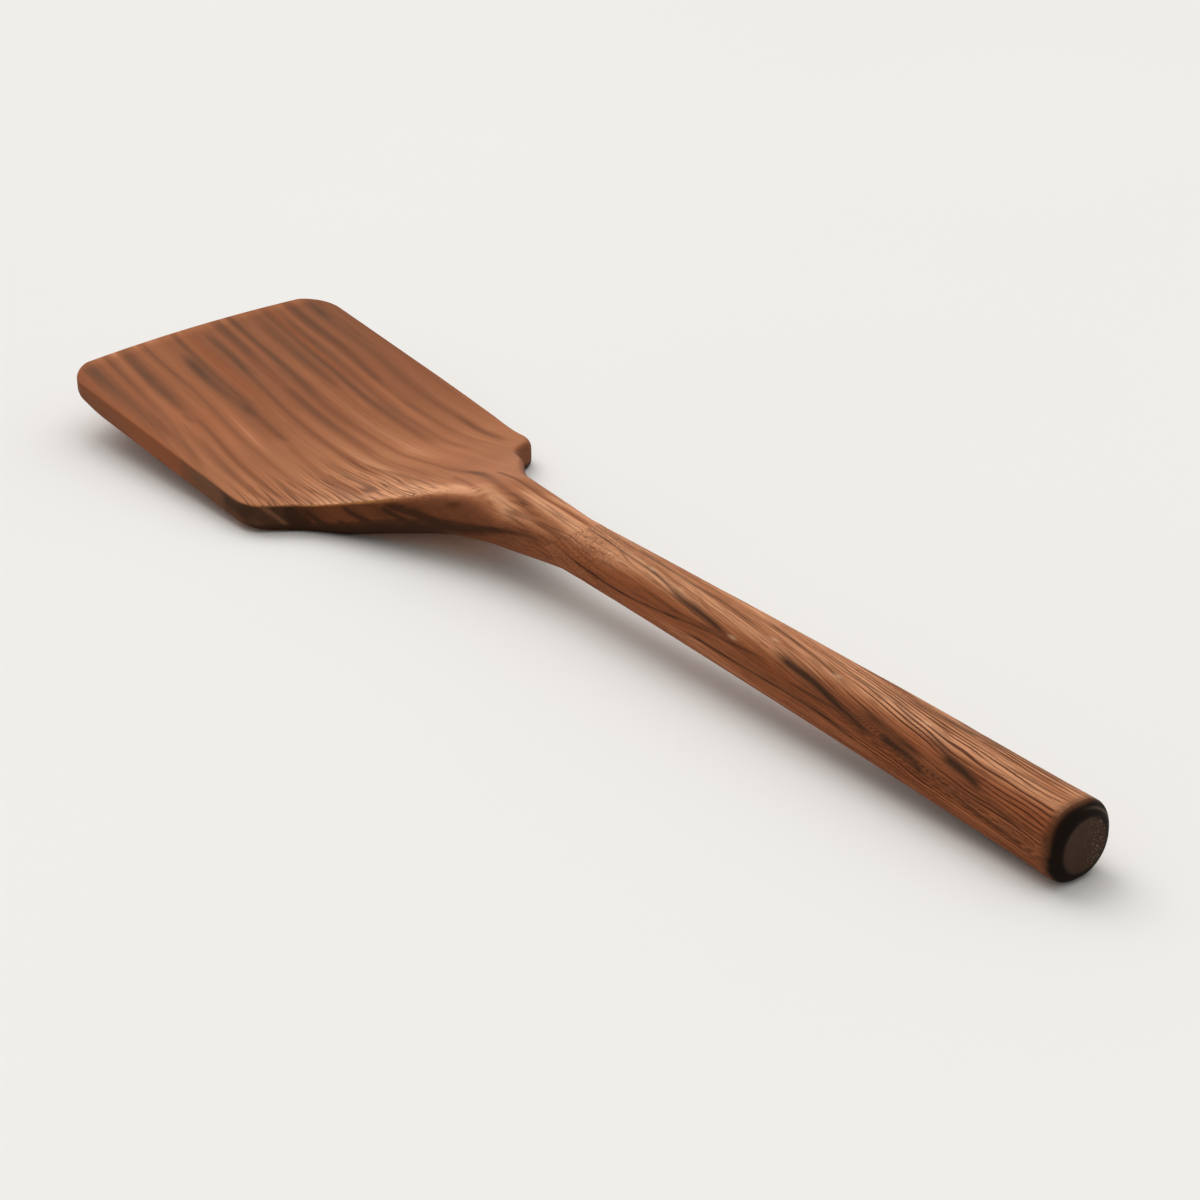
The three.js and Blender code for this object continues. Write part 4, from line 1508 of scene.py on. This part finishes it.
@dataclass
class EndCap:
    """Near-black button cap with its rounded rim and the tenon that holds it."""

    form: TurnerForm
    shift_x: float
    count: SectionCount = ROUND_COUNT
    glue_line: float = 0.06
    tenon_radius: float = 3.5
    tenon_length: float = 12.0
    tenon_chamfer: float = 0.4
    rim_rows: int = 18
    rim_start: float = 0.02
    face_rows: tuple[float, ...] = (0.97, 0.9, 0.8, 0.65, 0.5, 0.35, 0.2, 0.08)
    face_radius: float = 5.7
    face_blur: float = 0.5
    dish: float = 0.12
    groove_depth: float = 0.10
    groove_brown_loss: float = 0.85
    brown_length: float = 1.3
    brown_edge: Waver = Waver(31, 4, 2, 0.3, (20, 40))

    def circle(self, rim: Array, x: float, radius: float) -> Array:
        """A round ring on the tenon."""
        return round_ring(rim, rim[:, 2].mean(), radius, x, float(self.form.height(x)))

    def build(self) -> bpy.types.Object:
        """Builds the cap's mesh and its measured values.

        Returns:
            The end cap.
        """
        form = self.form
        root = form.cap_x + self.glue_line
        turn = np.linspace(0, math.pi / 2, self.rim_rows)
        places = [root, form.butt_x - form.cap_rim + self.rim_start]
        places += list(form.butt_x - form.cap_rim * (1 - np.sin(turn[1:])))
        button = form.sections(np.array(places), self.count)
        grooves, joint = self.last_grooves(button)
        button = button - outward(button) * (self.groove_depth * grooves * joint)[..., None]
        face = []
        middle = button[-1].mean(axis=0)
        for share in self.face_rows:
            ring = middle + (button[-1] - middle) * share
            ring[:, 0] -= self.dish * (1 - share)
            face.append(ring)
        end = form.cap_x - self.tenon_length
        tenon = [
            self.circle(button[0], end, self.tenon_radius - self.tenon_chamfer),
            self.circle(button[0], end + self.tenon_chamfer, self.tenon_radius),
            self.circle(button[0], root, self.tenon_radius),
        ]
        outer = np.concatenate([button, np.stack(face)])
        loft = Loft(tenon + list(outer), LoftEnd.POLE, LoftEnd.POLE, {0, 1, 2, 3, 4})
        piece = loft.build("end_cap_wood", self.shift_x)
        reach = np.hypot(outer[..., 1], outer[..., 2] - float(form.height(form.butt_x)))
        face_share = 1 - smooth(self.face_radius - self.face_blur, self.face_radius + self.face_blur, reach)
        brown = np.zeros_like(reach)
        brown[: len(button)] = joint * (1 - self.groove_brown_loss * grooves)
        marks = np.stack([face_share, reach / form.butt_radius, brown], 2)
        for name, rows in (("grain", outer), ("marks", marks)):
            loft.mark(piece, name, rows, len(tenon))
        return piece

    def last_grooves(self, rings: Array) -> tuple[Array, Array]:
        """The handle's grooves, run out over the start of the rim.

        Args:
            rings: rings of the button.

        Returns:
            The grooves, and how much of them and of the brown wood is left.
        """
        handle = Handle(self.form, self.shift_x)
        round_x, half_girth = girth(rings, self.count)
        lines = handle.grain(np.full(len(rings), self.form.cap_x), round_x, half_girth)
        x = rings[..., 0]
        ragged = x + self.brown_edge.at(x, lines)
        brown = 1 - smooth(self.form.cap_x, self.form.cap_x + self.brown_length, ragged)
        return handle.grooves(x, lines), brown

    def dress(self, piece: bpy.types.Object) -> None:
        """Gives the cap its finish and its place in the part.

        Args:
            piece: the object that was built.
        """
        piece.data.materials.append(BlackEndWood().make())
        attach(piece, BODY)
        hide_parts("end_cap")


@dataclass
class NeckDowel:
    """Dowel hidden in the neck joint, kept as it was imported."""

    piece: bpy.types.Object

    def dress(self) -> None:
        """Gives the dowel its raw wood."""
        self.piece.data.materials.clear()
        self.piece.data.materials.append(RAW_DOWEL_WOOD.make())


NOISE_SPREAD: Range = (0.3, 0.7)
MIX_SHARE, MIX_BASE, MIX_OVER, MIX_RESULT = 0, 6, 7, 2


@dataclass(frozen=True)
class Cells:
    """Size of a stretched noise: cells per unit along and across the grain, and its finer layers."""

    along: float
    across: float
    detail: float = 1.0


@dataclass(frozen=True)
class Sheen:
    """Specular level of a finish and the depth of its fine relief in metres."""

    gloss: float
    relief: float


class NodeSheet:
    """Lays out nodes on one tree."""

    def __init__(self, tree: bpy.types.NodeTree) -> None:
        """Starts with an empty tree."""
        self.tree = tree
        self.tree.nodes.clear()

    def add(self, kind: str, choice: dict[str, str], given: dict[int | str, Given]) -> bpy.types.Node:
        """Adds one node.

        Args:
            kind: the node's type.
            choice: its settings.
            given: what goes into its inputs, either another node's output or a plain value.

        Returns:
            The node.
        """
        made = self.tree.nodes.new("ShaderNode" + kind)
        for name, option in choice.items():
            setattr(made, name, option)
        for name, value in given.items():
            if isinstance(value, bpy.types.NodeSocket):
                self.tree.links.new(value, made.inputs[name])
            else:
                made.inputs[name].default_value = value
        return made

    def reckon(self, operation: str, first: Given, second: Given) -> Socket:
        """One sum of two values."""
        return self.add("Math", {"operation": operation}, {0: first, 1: second}).outputs[0]

    def times(self, first: Given, second: Given) -> Socket:
        """One value times another."""
        return self.reckon("MULTIPLY", first, second)


class FinishSheet(NodeSheet):
    """Lays out the nodes of one finish."""

    def __init__(self, name: str) -> None:
        """Starts an empty finish.

        Args:
            name: the finish's name.
        """
        self.material = bpy.data.materials.new(name)
        self.material.use_nodes = True
        super().__init__(self.material.node_tree)

    def measured(self, name: str) -> tuple[Socket, Socket, Socket, Socket]:
        """Reads measured values from the mesh: the vector and its three parts."""
        vector = self.add("Attribute", {"attribute_name": name}, {}).outputs["Vector"]
        return (vector, *self.add("SeparateXYZ", {}, {0: vector}).outputs)

    def noise(self, place: Socket, cells: Cells) -> Socket:
        """Noise about 0.5 that is stretched along the grain.

        Args:
            place: grain places.
            cells: the noise's size.

        Returns:
            The noise.
        """
        stretch = (cells.along, cells.across, cells.across)
        cell = self.add("VectorMath", {"operation": "MULTIPLY"}, {0: place, 1: stretch}).outputs[0]
        return self.add("TexNoise", {}, {"Scale": 1.0, "Detail": cells.detail, "Vector": cell}).outputs[0]

    def between(self, value: Socket, seen: Range, given: Range = (0.0, 1.0)) -> Socket:
        """Maps a range of values onto another, held at both ends.

        Args:
            value: the values to map.
            seen: the range that is mapped.
            given: what its two ends become.

        Returns:
            The mapped values.
        """
        ends = dict(zip(("From Min", "From Max", "To Min", "To Max"), seen + given))
        eased = {"interpolation_type": "SMOOTHSTEP"}
        return self.add("MapRange", eased, {"Value": value, **ends}).outputs["Result"]

    def specks(self, place: Socket, cells: Cells, seen: Range) -> Socket:
        """The highest spots of a noise."""
        return self.between(self.noise(place, cells), seen)

    def lines(self, place: Socket, cells: Cells, width: float) -> Socket:
        """Thin wavy lines along the grain, where a smooth noise crosses its middle."""
        offset = self.reckon("SUBTRACT", self.noise(place, cells), 0.5)
        return self.between(self.reckon("ABSOLUTE", offset, 0.0), (0.0, width), (1.0, 0.0))

    def ramp(self, value: Socket, stops: Stops) -> Socket:
        """Colours along a scale.

        Args:
            value: place on the scale.
            stops: places and their colours.

        Returns:
            The colour.
        """
        made = self.add("ValToRGB", {}, {0: value})
        scale = made.color_ramp
        while len(scale.elements) < len(stops):
            scale.elements.new(1.0)
        for element, (place, colour) in zip(scale.elements, stops):
            element.position = place
            element.color = colour
        return made.outputs[0]

    def stain(self, share: Socket, base: Socket, over: Colour) -> Socket:
        """Lays one colour over another, by the share of it that shows."""
        mix = {MIX_SHARE: share, MIX_BASE: base, MIX_OVER: over}
        return self.add("Mix", {"data_type": "RGBA"}, mix).outputs[MIX_RESULT]

    def finish(self, colour: Socket, roughness: Socket, height: Socket, look: Sheen) -> bpy.types.Material:
        """Connects the shader.

        Args:
            colour: base colour.
            roughness: how rough it is.
            height: height of the fine relief, 0 to 1.
            look: gloss and depth of the relief.

        Returns:
            The finished material.
        """
        relief = {"Strength": 1.0, "Distance": look.relief, "Height": height}
        given = {"Base Color": colour, "Roughness": roughness, "Specular IOR Level": look.gloss}
        given["Normal"] = self.add("Bump", {}, relief).outputs[0]
        shader = self.add("BsdfPrincipled", {}, given)
        self.add("OutputMaterial", {}, {"Surface": shader.outputs["BSDF"]})
        return self.material


WOOD_SCALE: Stops = (
    (0.00, paint(80, 54, 38)),
    (0.20, paint(108, 74, 53)),
    (0.40, paint(134, 85, 58)),
    (0.60, paint(157, 100, 68)),
    (0.80, paint(181, 120, 83)),
    (1.00, paint(222, 161, 121)),
)


@dataclass(frozen=True)
class StripedWood:
    """Smooth oiled wood of the blade, with dark and light layers."""

    scale: Stops = WOOD_SCALE
    red: Colour = paint(150, 80, 44)
    red_share: float = 0.5
    black: Colour = paint(50, 32, 21)
    black_share: float = 0.82
    painted_highlight: Colour = paint(186, 128, 66)
    highlight_cells: Cells = Cells(0.25, 0.6, 2.0)
    highlight_range: Range = (0.35, 0.65)
    highlight_share: Range = (0.3, 0.9)
    line: Colour = paint(74, 42, 26)
    line_share: float = 0.7
    fibre_cells: Cells = Cells(0.05, 2.2, 3.0)
    fibre_shade: float = 0.22
    fibre_height: float = 0.5
    vein_cells: Cells = Cells(0.025, 0.9, 0.5)
    vein_width: float = 0.09
    vein_share: float = 0.7
    pore_cells: Cells = Cells(0.12, 4.4)
    pore_range: Range = (0.60, 0.70)
    pore_share: float = 0.3
    dot_cells: Cells = Cells(1.5, 6.0)
    dot_range: Range = (0.57, 0.66)
    dot_start: Range = (34, 60)
    dot_share: float = 0.3
    roughness: Range = (0.56, 0.70)
    sheen: Sheen = Sheen(0.05, 0.00008)

    def make(self) -> bpy.types.Material:
        """Lays out the finish.

        Returns:
            The material.
        """
        sheet = FinishSheet("striped_oiled_wood")
        reckon, stain, times = sheet.reckon, sheet.stain, sheet.times
        place, along, _, _ = sheet.measured("grain")
        _, tone, dark, red = sheet.measured("figure")
        _, edge, lines, fine = sheet.measured("marks")
        fibre = sheet.noise(place, self.fibre_cells)
        vein = sheet.lines(place, self.vein_cells, self.vein_width)
        pore = sheet.specks(place, self.pore_cells, self.pore_range)
        shade = times(reckon("SUBTRACT", fibre, 0.5), self.fibre_shade)
        colour = sheet.ramp(reckon("ADD", tone, shade), self.scale)
        colour = stain(times(red, self.red_share), colour, self.red)
        colour = stain(times(dark, self.black_share), colour, self.black)
        thin = reckon("MAXIMUM", times(vein, self.vein_share), times(pore, self.pore_share))
        cut = reckon("MAXIMUM", times(thin, fine), times(lines, self.line_share))
        colour = stain(cut, colour, self.line)
        dots = sheet.specks(place, self.dot_cells, self.dot_range)
        dots = times(dots, sheet.between(along, self.dot_start))
        colour = stain(times(dots, self.dot_share), colour, self.line)
        # Painted highlight: a patchy pale golden line along the shoulder's upper arris.
        patchy = sheet.between(sheet.noise(place, self.highlight_cells), self.highlight_range, self.highlight_share)
        colour = stain(times(edge, patchy), colour, self.painted_highlight)
        rough = sheet.between(fibre, NOISE_SPREAD, self.roughness)
        height = reckon("SUBTRACT", times(fibre, self.fibre_height), cut)
        return sheet.finish(colour, rough, height, self.sheen)


@dataclass(frozen=True)
class BrushedWood:
    """Brushed open-grained wood of the handle, dark in its streaks."""

    scale: Stops = WOOD_SCALE
    red: Colour = paint(150, 78, 40)
    red_share: float = 0.6
    black: Colour = paint(46, 33, 24)
    black_share: float = 0.88
    groove: Colour = paint(84, 44, 25)
    groove_range: Range = (0.15, 0.75)
    groove_share: float = 0.92
    pale: Colour = paint(222, 178, 140)
    pale_share: float = 0.6
    charred: Colour = paint(44, 28, 18)
    fibre_cells: Cells = Cells(0.07, 2.6, 3.0)
    fibre_shade: float = 0.45
    fibre_height: float = 0.6
    close_cells: Cells = Cells(0.03, 1.6, 0.5)
    close_width: float = 0.06
    close_share: float = 0.45
    pore_cells: Cells = Cells(0.14, 4.0)
    pore_range: Range = (0.58, 0.70)
    pore_share: float = 0.35
    pore_height: float = 0.6
    dot_cells: Cells = Cells(1.5, 6.0)
    dot_range: Range = (0.57, 0.66)
    dot_start: Range = (60, 68)
    dot_end: Range = (76, 96)
    dot_share: float = 0.36
    roughness: Range = (0.56, 0.70)
    sheen: Sheen = Sheen(0.05, 0.00014)

    def make(self) -> bpy.types.Material:
        """Lays out the finish.

        Returns:
            The material.
        """
        sheet = FinishSheet("brushed_open_wood")
        reckon, stain, times = sheet.reckon, sheet.stain, sheet.times
        place, along, _, _ = sheet.measured("grain")
        _, tone, dark, red = sheet.measured("figure")
        _, char, comb, knot = sheet.measured("marks")
        fibre = sheet.noise(place, self.fibre_cells)
        close = sheet.lines(place, self.close_cells, self.close_width)
        groove = sheet.between(comb, self.groove_range)
        groove = reckon("MAXIMUM", groove, times(close, self.close_share))
        pore = sheet.specks(place, self.pore_cells, self.pore_range)
        start = times(sheet.between(along, self.dot_start), sheet.between(along, self.dot_end, (1.0, 0.0)))
        dots = times(sheet.specks(place, self.dot_cells, self.dot_range), start)
        shade = times(reckon("SUBTRACT", fibre, 0.5), self.fibre_shade)
        colour = sheet.ramp(reckon("ADD", tone, shade), self.scale)
        layers = (
            (red, self.red_share, self.red), (groove, self.groove_share, self.groove),
            (pore, self.pore_share, self.groove), (dots, self.dot_share, self.groove),
            (dark, self.black_share, self.black), (knot, self.pale_share, self.pale),
        )
        for layer, share, over in layers:
            colour = stain(times(layer, share), colour, over)
        colour = stain(char, colour, self.charred)
        rough = sheet.between(fibre, NOISE_SPREAD, self.roughness)
        hollow = reckon("MAXIMUM", times(pore, self.pore_height), dots)
        hollow = reckon("MAXIMUM", hollow, groove)
        height = reckon("ADD", reckon("SUBTRACT", times(fibre, self.fibre_height), hollow), knot)
        return sheet.finish(colour, rough, height, self.sheen)


@dataclass(frozen=True)
class BlackEndWood:
    """Near-black end grain of the cap, with pale pores on its face and a painted highlight band inside its
    rim, both only on its lit side.
    """

    scale: Stops = ((0.0, paint(15, 9, 5)), (0.5, paint(23, 14, 8)), (1.0, paint(34, 22, 14)))
    brown: Colour = paint(94, 57, 36)
    face: Colour = paint(71, 51, 38)
    face_share: float = 0.85
    pores: Colour = paint(150, 130, 110)
    pore_range: Range = (0.60, 0.66)
    pore_share: float = 0.75
    painted_highlight: Colour = paint(140, 122, 104)
    highlight_start: Range = (0.86, 0.91)
    highlight_end: Range = (0.92, 0.97)
    highlight_share: float = 0.3
    lit_side: Range = (-1.5, 5.5)
    cloud_cells: Cells = Cells(0.5, 0.5, 3.0)
    speck_cells: Cells = Cells(2.2, 2.2)
    speck_height: float = 0.4
    roughness: Range = (0.46, 0.64)
    sheen: Sheen = Sheen(0.05, 0.00012)

    def make(self) -> bpy.types.Material:
        """Lays out the finish.

        Returns:
            The material.
        """
        sheet = FinishSheet("black_end_wood")
        reckon, stain, times = sheet.reckon, sheet.stain, sheet.times
        place, _, across, _ = sheet.measured("grain")
        _, face, reach, joint = sheet.measured("marks")
        cloud = sheet.noise(place, self.cloud_cells)
        speck = sheet.noise(place, self.speck_cells)
        # The pale pores show only on the lit side: painted light on real pores.
        side = sheet.between(across, self.lit_side)
        pore = times(sheet.between(speck, self.pore_range), times(side, face))
        colour = stain(joint, sheet.ramp(cloud, self.scale), self.brown)
        colour = stain(times(face, self.face_share), colour, self.face)
        colour = stain(times(pore, self.pore_share), colour, self.pores)
        # Painted highlight: a pale band inside the rim on the lit side.
        band = times(sheet.between(reach, self.highlight_start), sheet.between(reach, self.highlight_end, (1.0, 0.0)))
        colour = stain(times(times(band, side), self.highlight_share), colour, self.painted_highlight)
        rough = sheet.between(cloud, NOISE_SPREAD, self.roughness)
        height = reckon("SUBTRACT", times(speck, self.speck_height), pore)
        return sheet.finish(colour, rough, height, self.sheen)


@dataclass(frozen=True)
class PlainFinish:
    """Finish whose colour, roughness and relief all follow one noise."""

    name: str
    scale: Stops
    cells: Cells
    roughness: Range
    sheen: Sheen

    def make(self) -> bpy.types.Material:
        """Lays out the finish.

        Returns:
            The material.
        """
        sheet = FinishSheet(self.name)
        cloud = sheet.noise(sheet.add("TexCoord", {}, {}).outputs["Object"], self.cells)
        rough = sheet.between(cloud, NOISE_SPREAD, self.roughness)
        return sheet.finish(sheet.ramp(cloud, self.scale), rough, cloud, self.sheen)


RAW_DOWEL_WOOD = PlainFinish(
    name="raw_dowel_wood",
    scale=((0.2, paint(172, 132, 86)), (0.5, paint(200, 160, 108)), (0.8, paint(216, 180, 130))),
    cells=Cells(60.0, 1500.0, 3.0),
    roughness=(0.6, 0.8),
    sheen=Sheen(0.25, 0.0001),
)
PALE_FLOOR = PlainFinish(
    name="pale_floor",
    scale=((0.3, paint(240, 240, 239)), (0.7, paint(242, 242, 241))),
    cells=Cells(3.0, 3.0, 2.0),
    roughness=(0.85, 0.95),
    sheen=Sheen(0.05, 0.00002),
)


@dataclass
class Studio:
    """Pale floor, soft light from behind and above, and the camera."""

    floor_reach: float = 6.0
    sky_strength: float = 0.345
    glow_strength: float = 1.20
    glow_from: Point = (-0.28, 0.27, 0.92)
    glow_focus: float = 3.0
    glow_tint: Colour = (1.0, 0.97, 0.93, 1.0)
    backdrop: Colour = paint(241, 240, 238)
    lamp_from: Point = (-0.63, 0.04, 0.78)
    lamp_strength: float = 0.85
    lamp_spread: float = math.radians(42)
    lamp_tint: Point = (0.97, 0.985, 1.0)
    camera_at: Point = (0.42783, -0.32663, 0.26162)
    camera_to: Point = (0.01735, 0.0, 0.00304)
    lens: float = 78.0
    film: float = 36.0
    nearest: float = 0.01

    def lay_floor(self) -> None:
        """Lays the floor, marked as stage."""
        reach = self.floor_reach
        corners = [(-reach, -reach, 0), (reach, -reach, 0), (reach, reach, 0), (-reach, reach, 0)]
        mesh = bpy.data.meshes.new("floor")
        mesh.from_pydata(corners, [], [(0, 1, 2, 3)])
        floor = put_in_scene("floor", mesh)
        floor.data.materials.append(PALE_FLOOR.make())
        floor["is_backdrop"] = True

    def hang_lamp(self) -> None:
        """Hangs the one broad lamp."""
        data = bpy.data.lights.new("broad_lamp", "SUN")
        data.energy = self.lamp_strength
        data.color = self.lamp_tint
        data.angle = self.lamp_spread
        lamp = put_in_scene("broad_lamp", data)
        lamp.rotation_euler = Vector(self.lamp_from).to_track_quat("Z", "Y").to_euler()

    def light_sky(self) -> None:
        """Lights the room, most from behind and above, and shows the camera a pale backdrop."""
        world = bpy.data.worlds.new("studio")
        world.use_nodes = True
        sheet = NodeSheet(world.node_tree)
        way = sheet.add("TexCoord", {}, {}).outputs["Generated"]
        source = Vector(self.glow_from).normalized()
        level = sheet.add("VectorMath", {"operation": "DOT_PRODUCT"}, {0: way, 1: source}).outputs["Value"]
        steps = (("MAXIMUM", 0.0), ("POWER", self.glow_focus), ("MULTIPLY", self.glow_strength))
        for operation, number in steps + (("ADD", self.sky_strength),):
            level = sheet.reckon(operation, level, number)
        rays = sheet.add("LightPath", {}, {}).outputs
        seen = sheet.reckon("MAXIMUM", rays["Is Camera Ray"], rays["Is Glossy Ray"])
        seen = sheet.reckon("MAXIMUM", seen, rays["Is Transmission Ray"])
        glow = sheet.add("Background", {}, {"Color": self.glow_tint, "Strength": level})
        shown = sheet.add("Background", {}, {"Color": self.backdrop, "Strength": 1.0})
        mix = sheet.add("MixShader", {}, {0: seen, 1: glow.outputs[0], 2: shown.outputs[0]})
        sheet.add("OutputWorld", {}, {"Surface": mix.outputs[0]})
        bpy.context.scene.world = world

    def set_camera(self) -> None:
        """Sets up the camera."""
        data = bpy.data.cameras.new("camera")
        data.lens = self.lens
        data.sensor_width = self.film
        data.clip_start = self.nearest
        camera = put_in_scene("camera", data)
        camera.location = self.camera_at
        aim = Vector(self.camera_to) - Vector(self.camera_at)
        camera.rotation_euler = aim.to_track_quat("-Z", "Y").to_euler()
        bpy.context.scene.camera = camera

    def build(self) -> None:
        """Sets up the whole studio."""
        self.lay_floor()
        self.hang_lamp()
        self.light_sky()
        self.set_camera()
        bpy.context.scene.view_settings.view_transform = "Standard"


def main() -> None:
    """Builds the turner's pieces in order, placed by the imported model's size, and logs their face counts.
    """
    logging.basicConfig(level=logging.INFO, format="%(name)s: %(message)s")
    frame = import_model()
    cad_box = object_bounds()
    form = TurnerForm()
    shift_x = cad_box[1].x - form.butt_x * MM
    Studio().build()
    for maker in (Blade(form, shift_x), Handle(form, shift_x), EndCap(form, shift_x)):
        piece = maker.build()
        maker.dress(piece)
        LOG.info("%s has %d faces", piece.name, len(piece.data.polygons))
    NeckDowel(frame["nodes"]["neck_dowel"]).dress()
    LOG.info("neck_dowel keeps its solid")


if __name__ == "__main__":
    main()
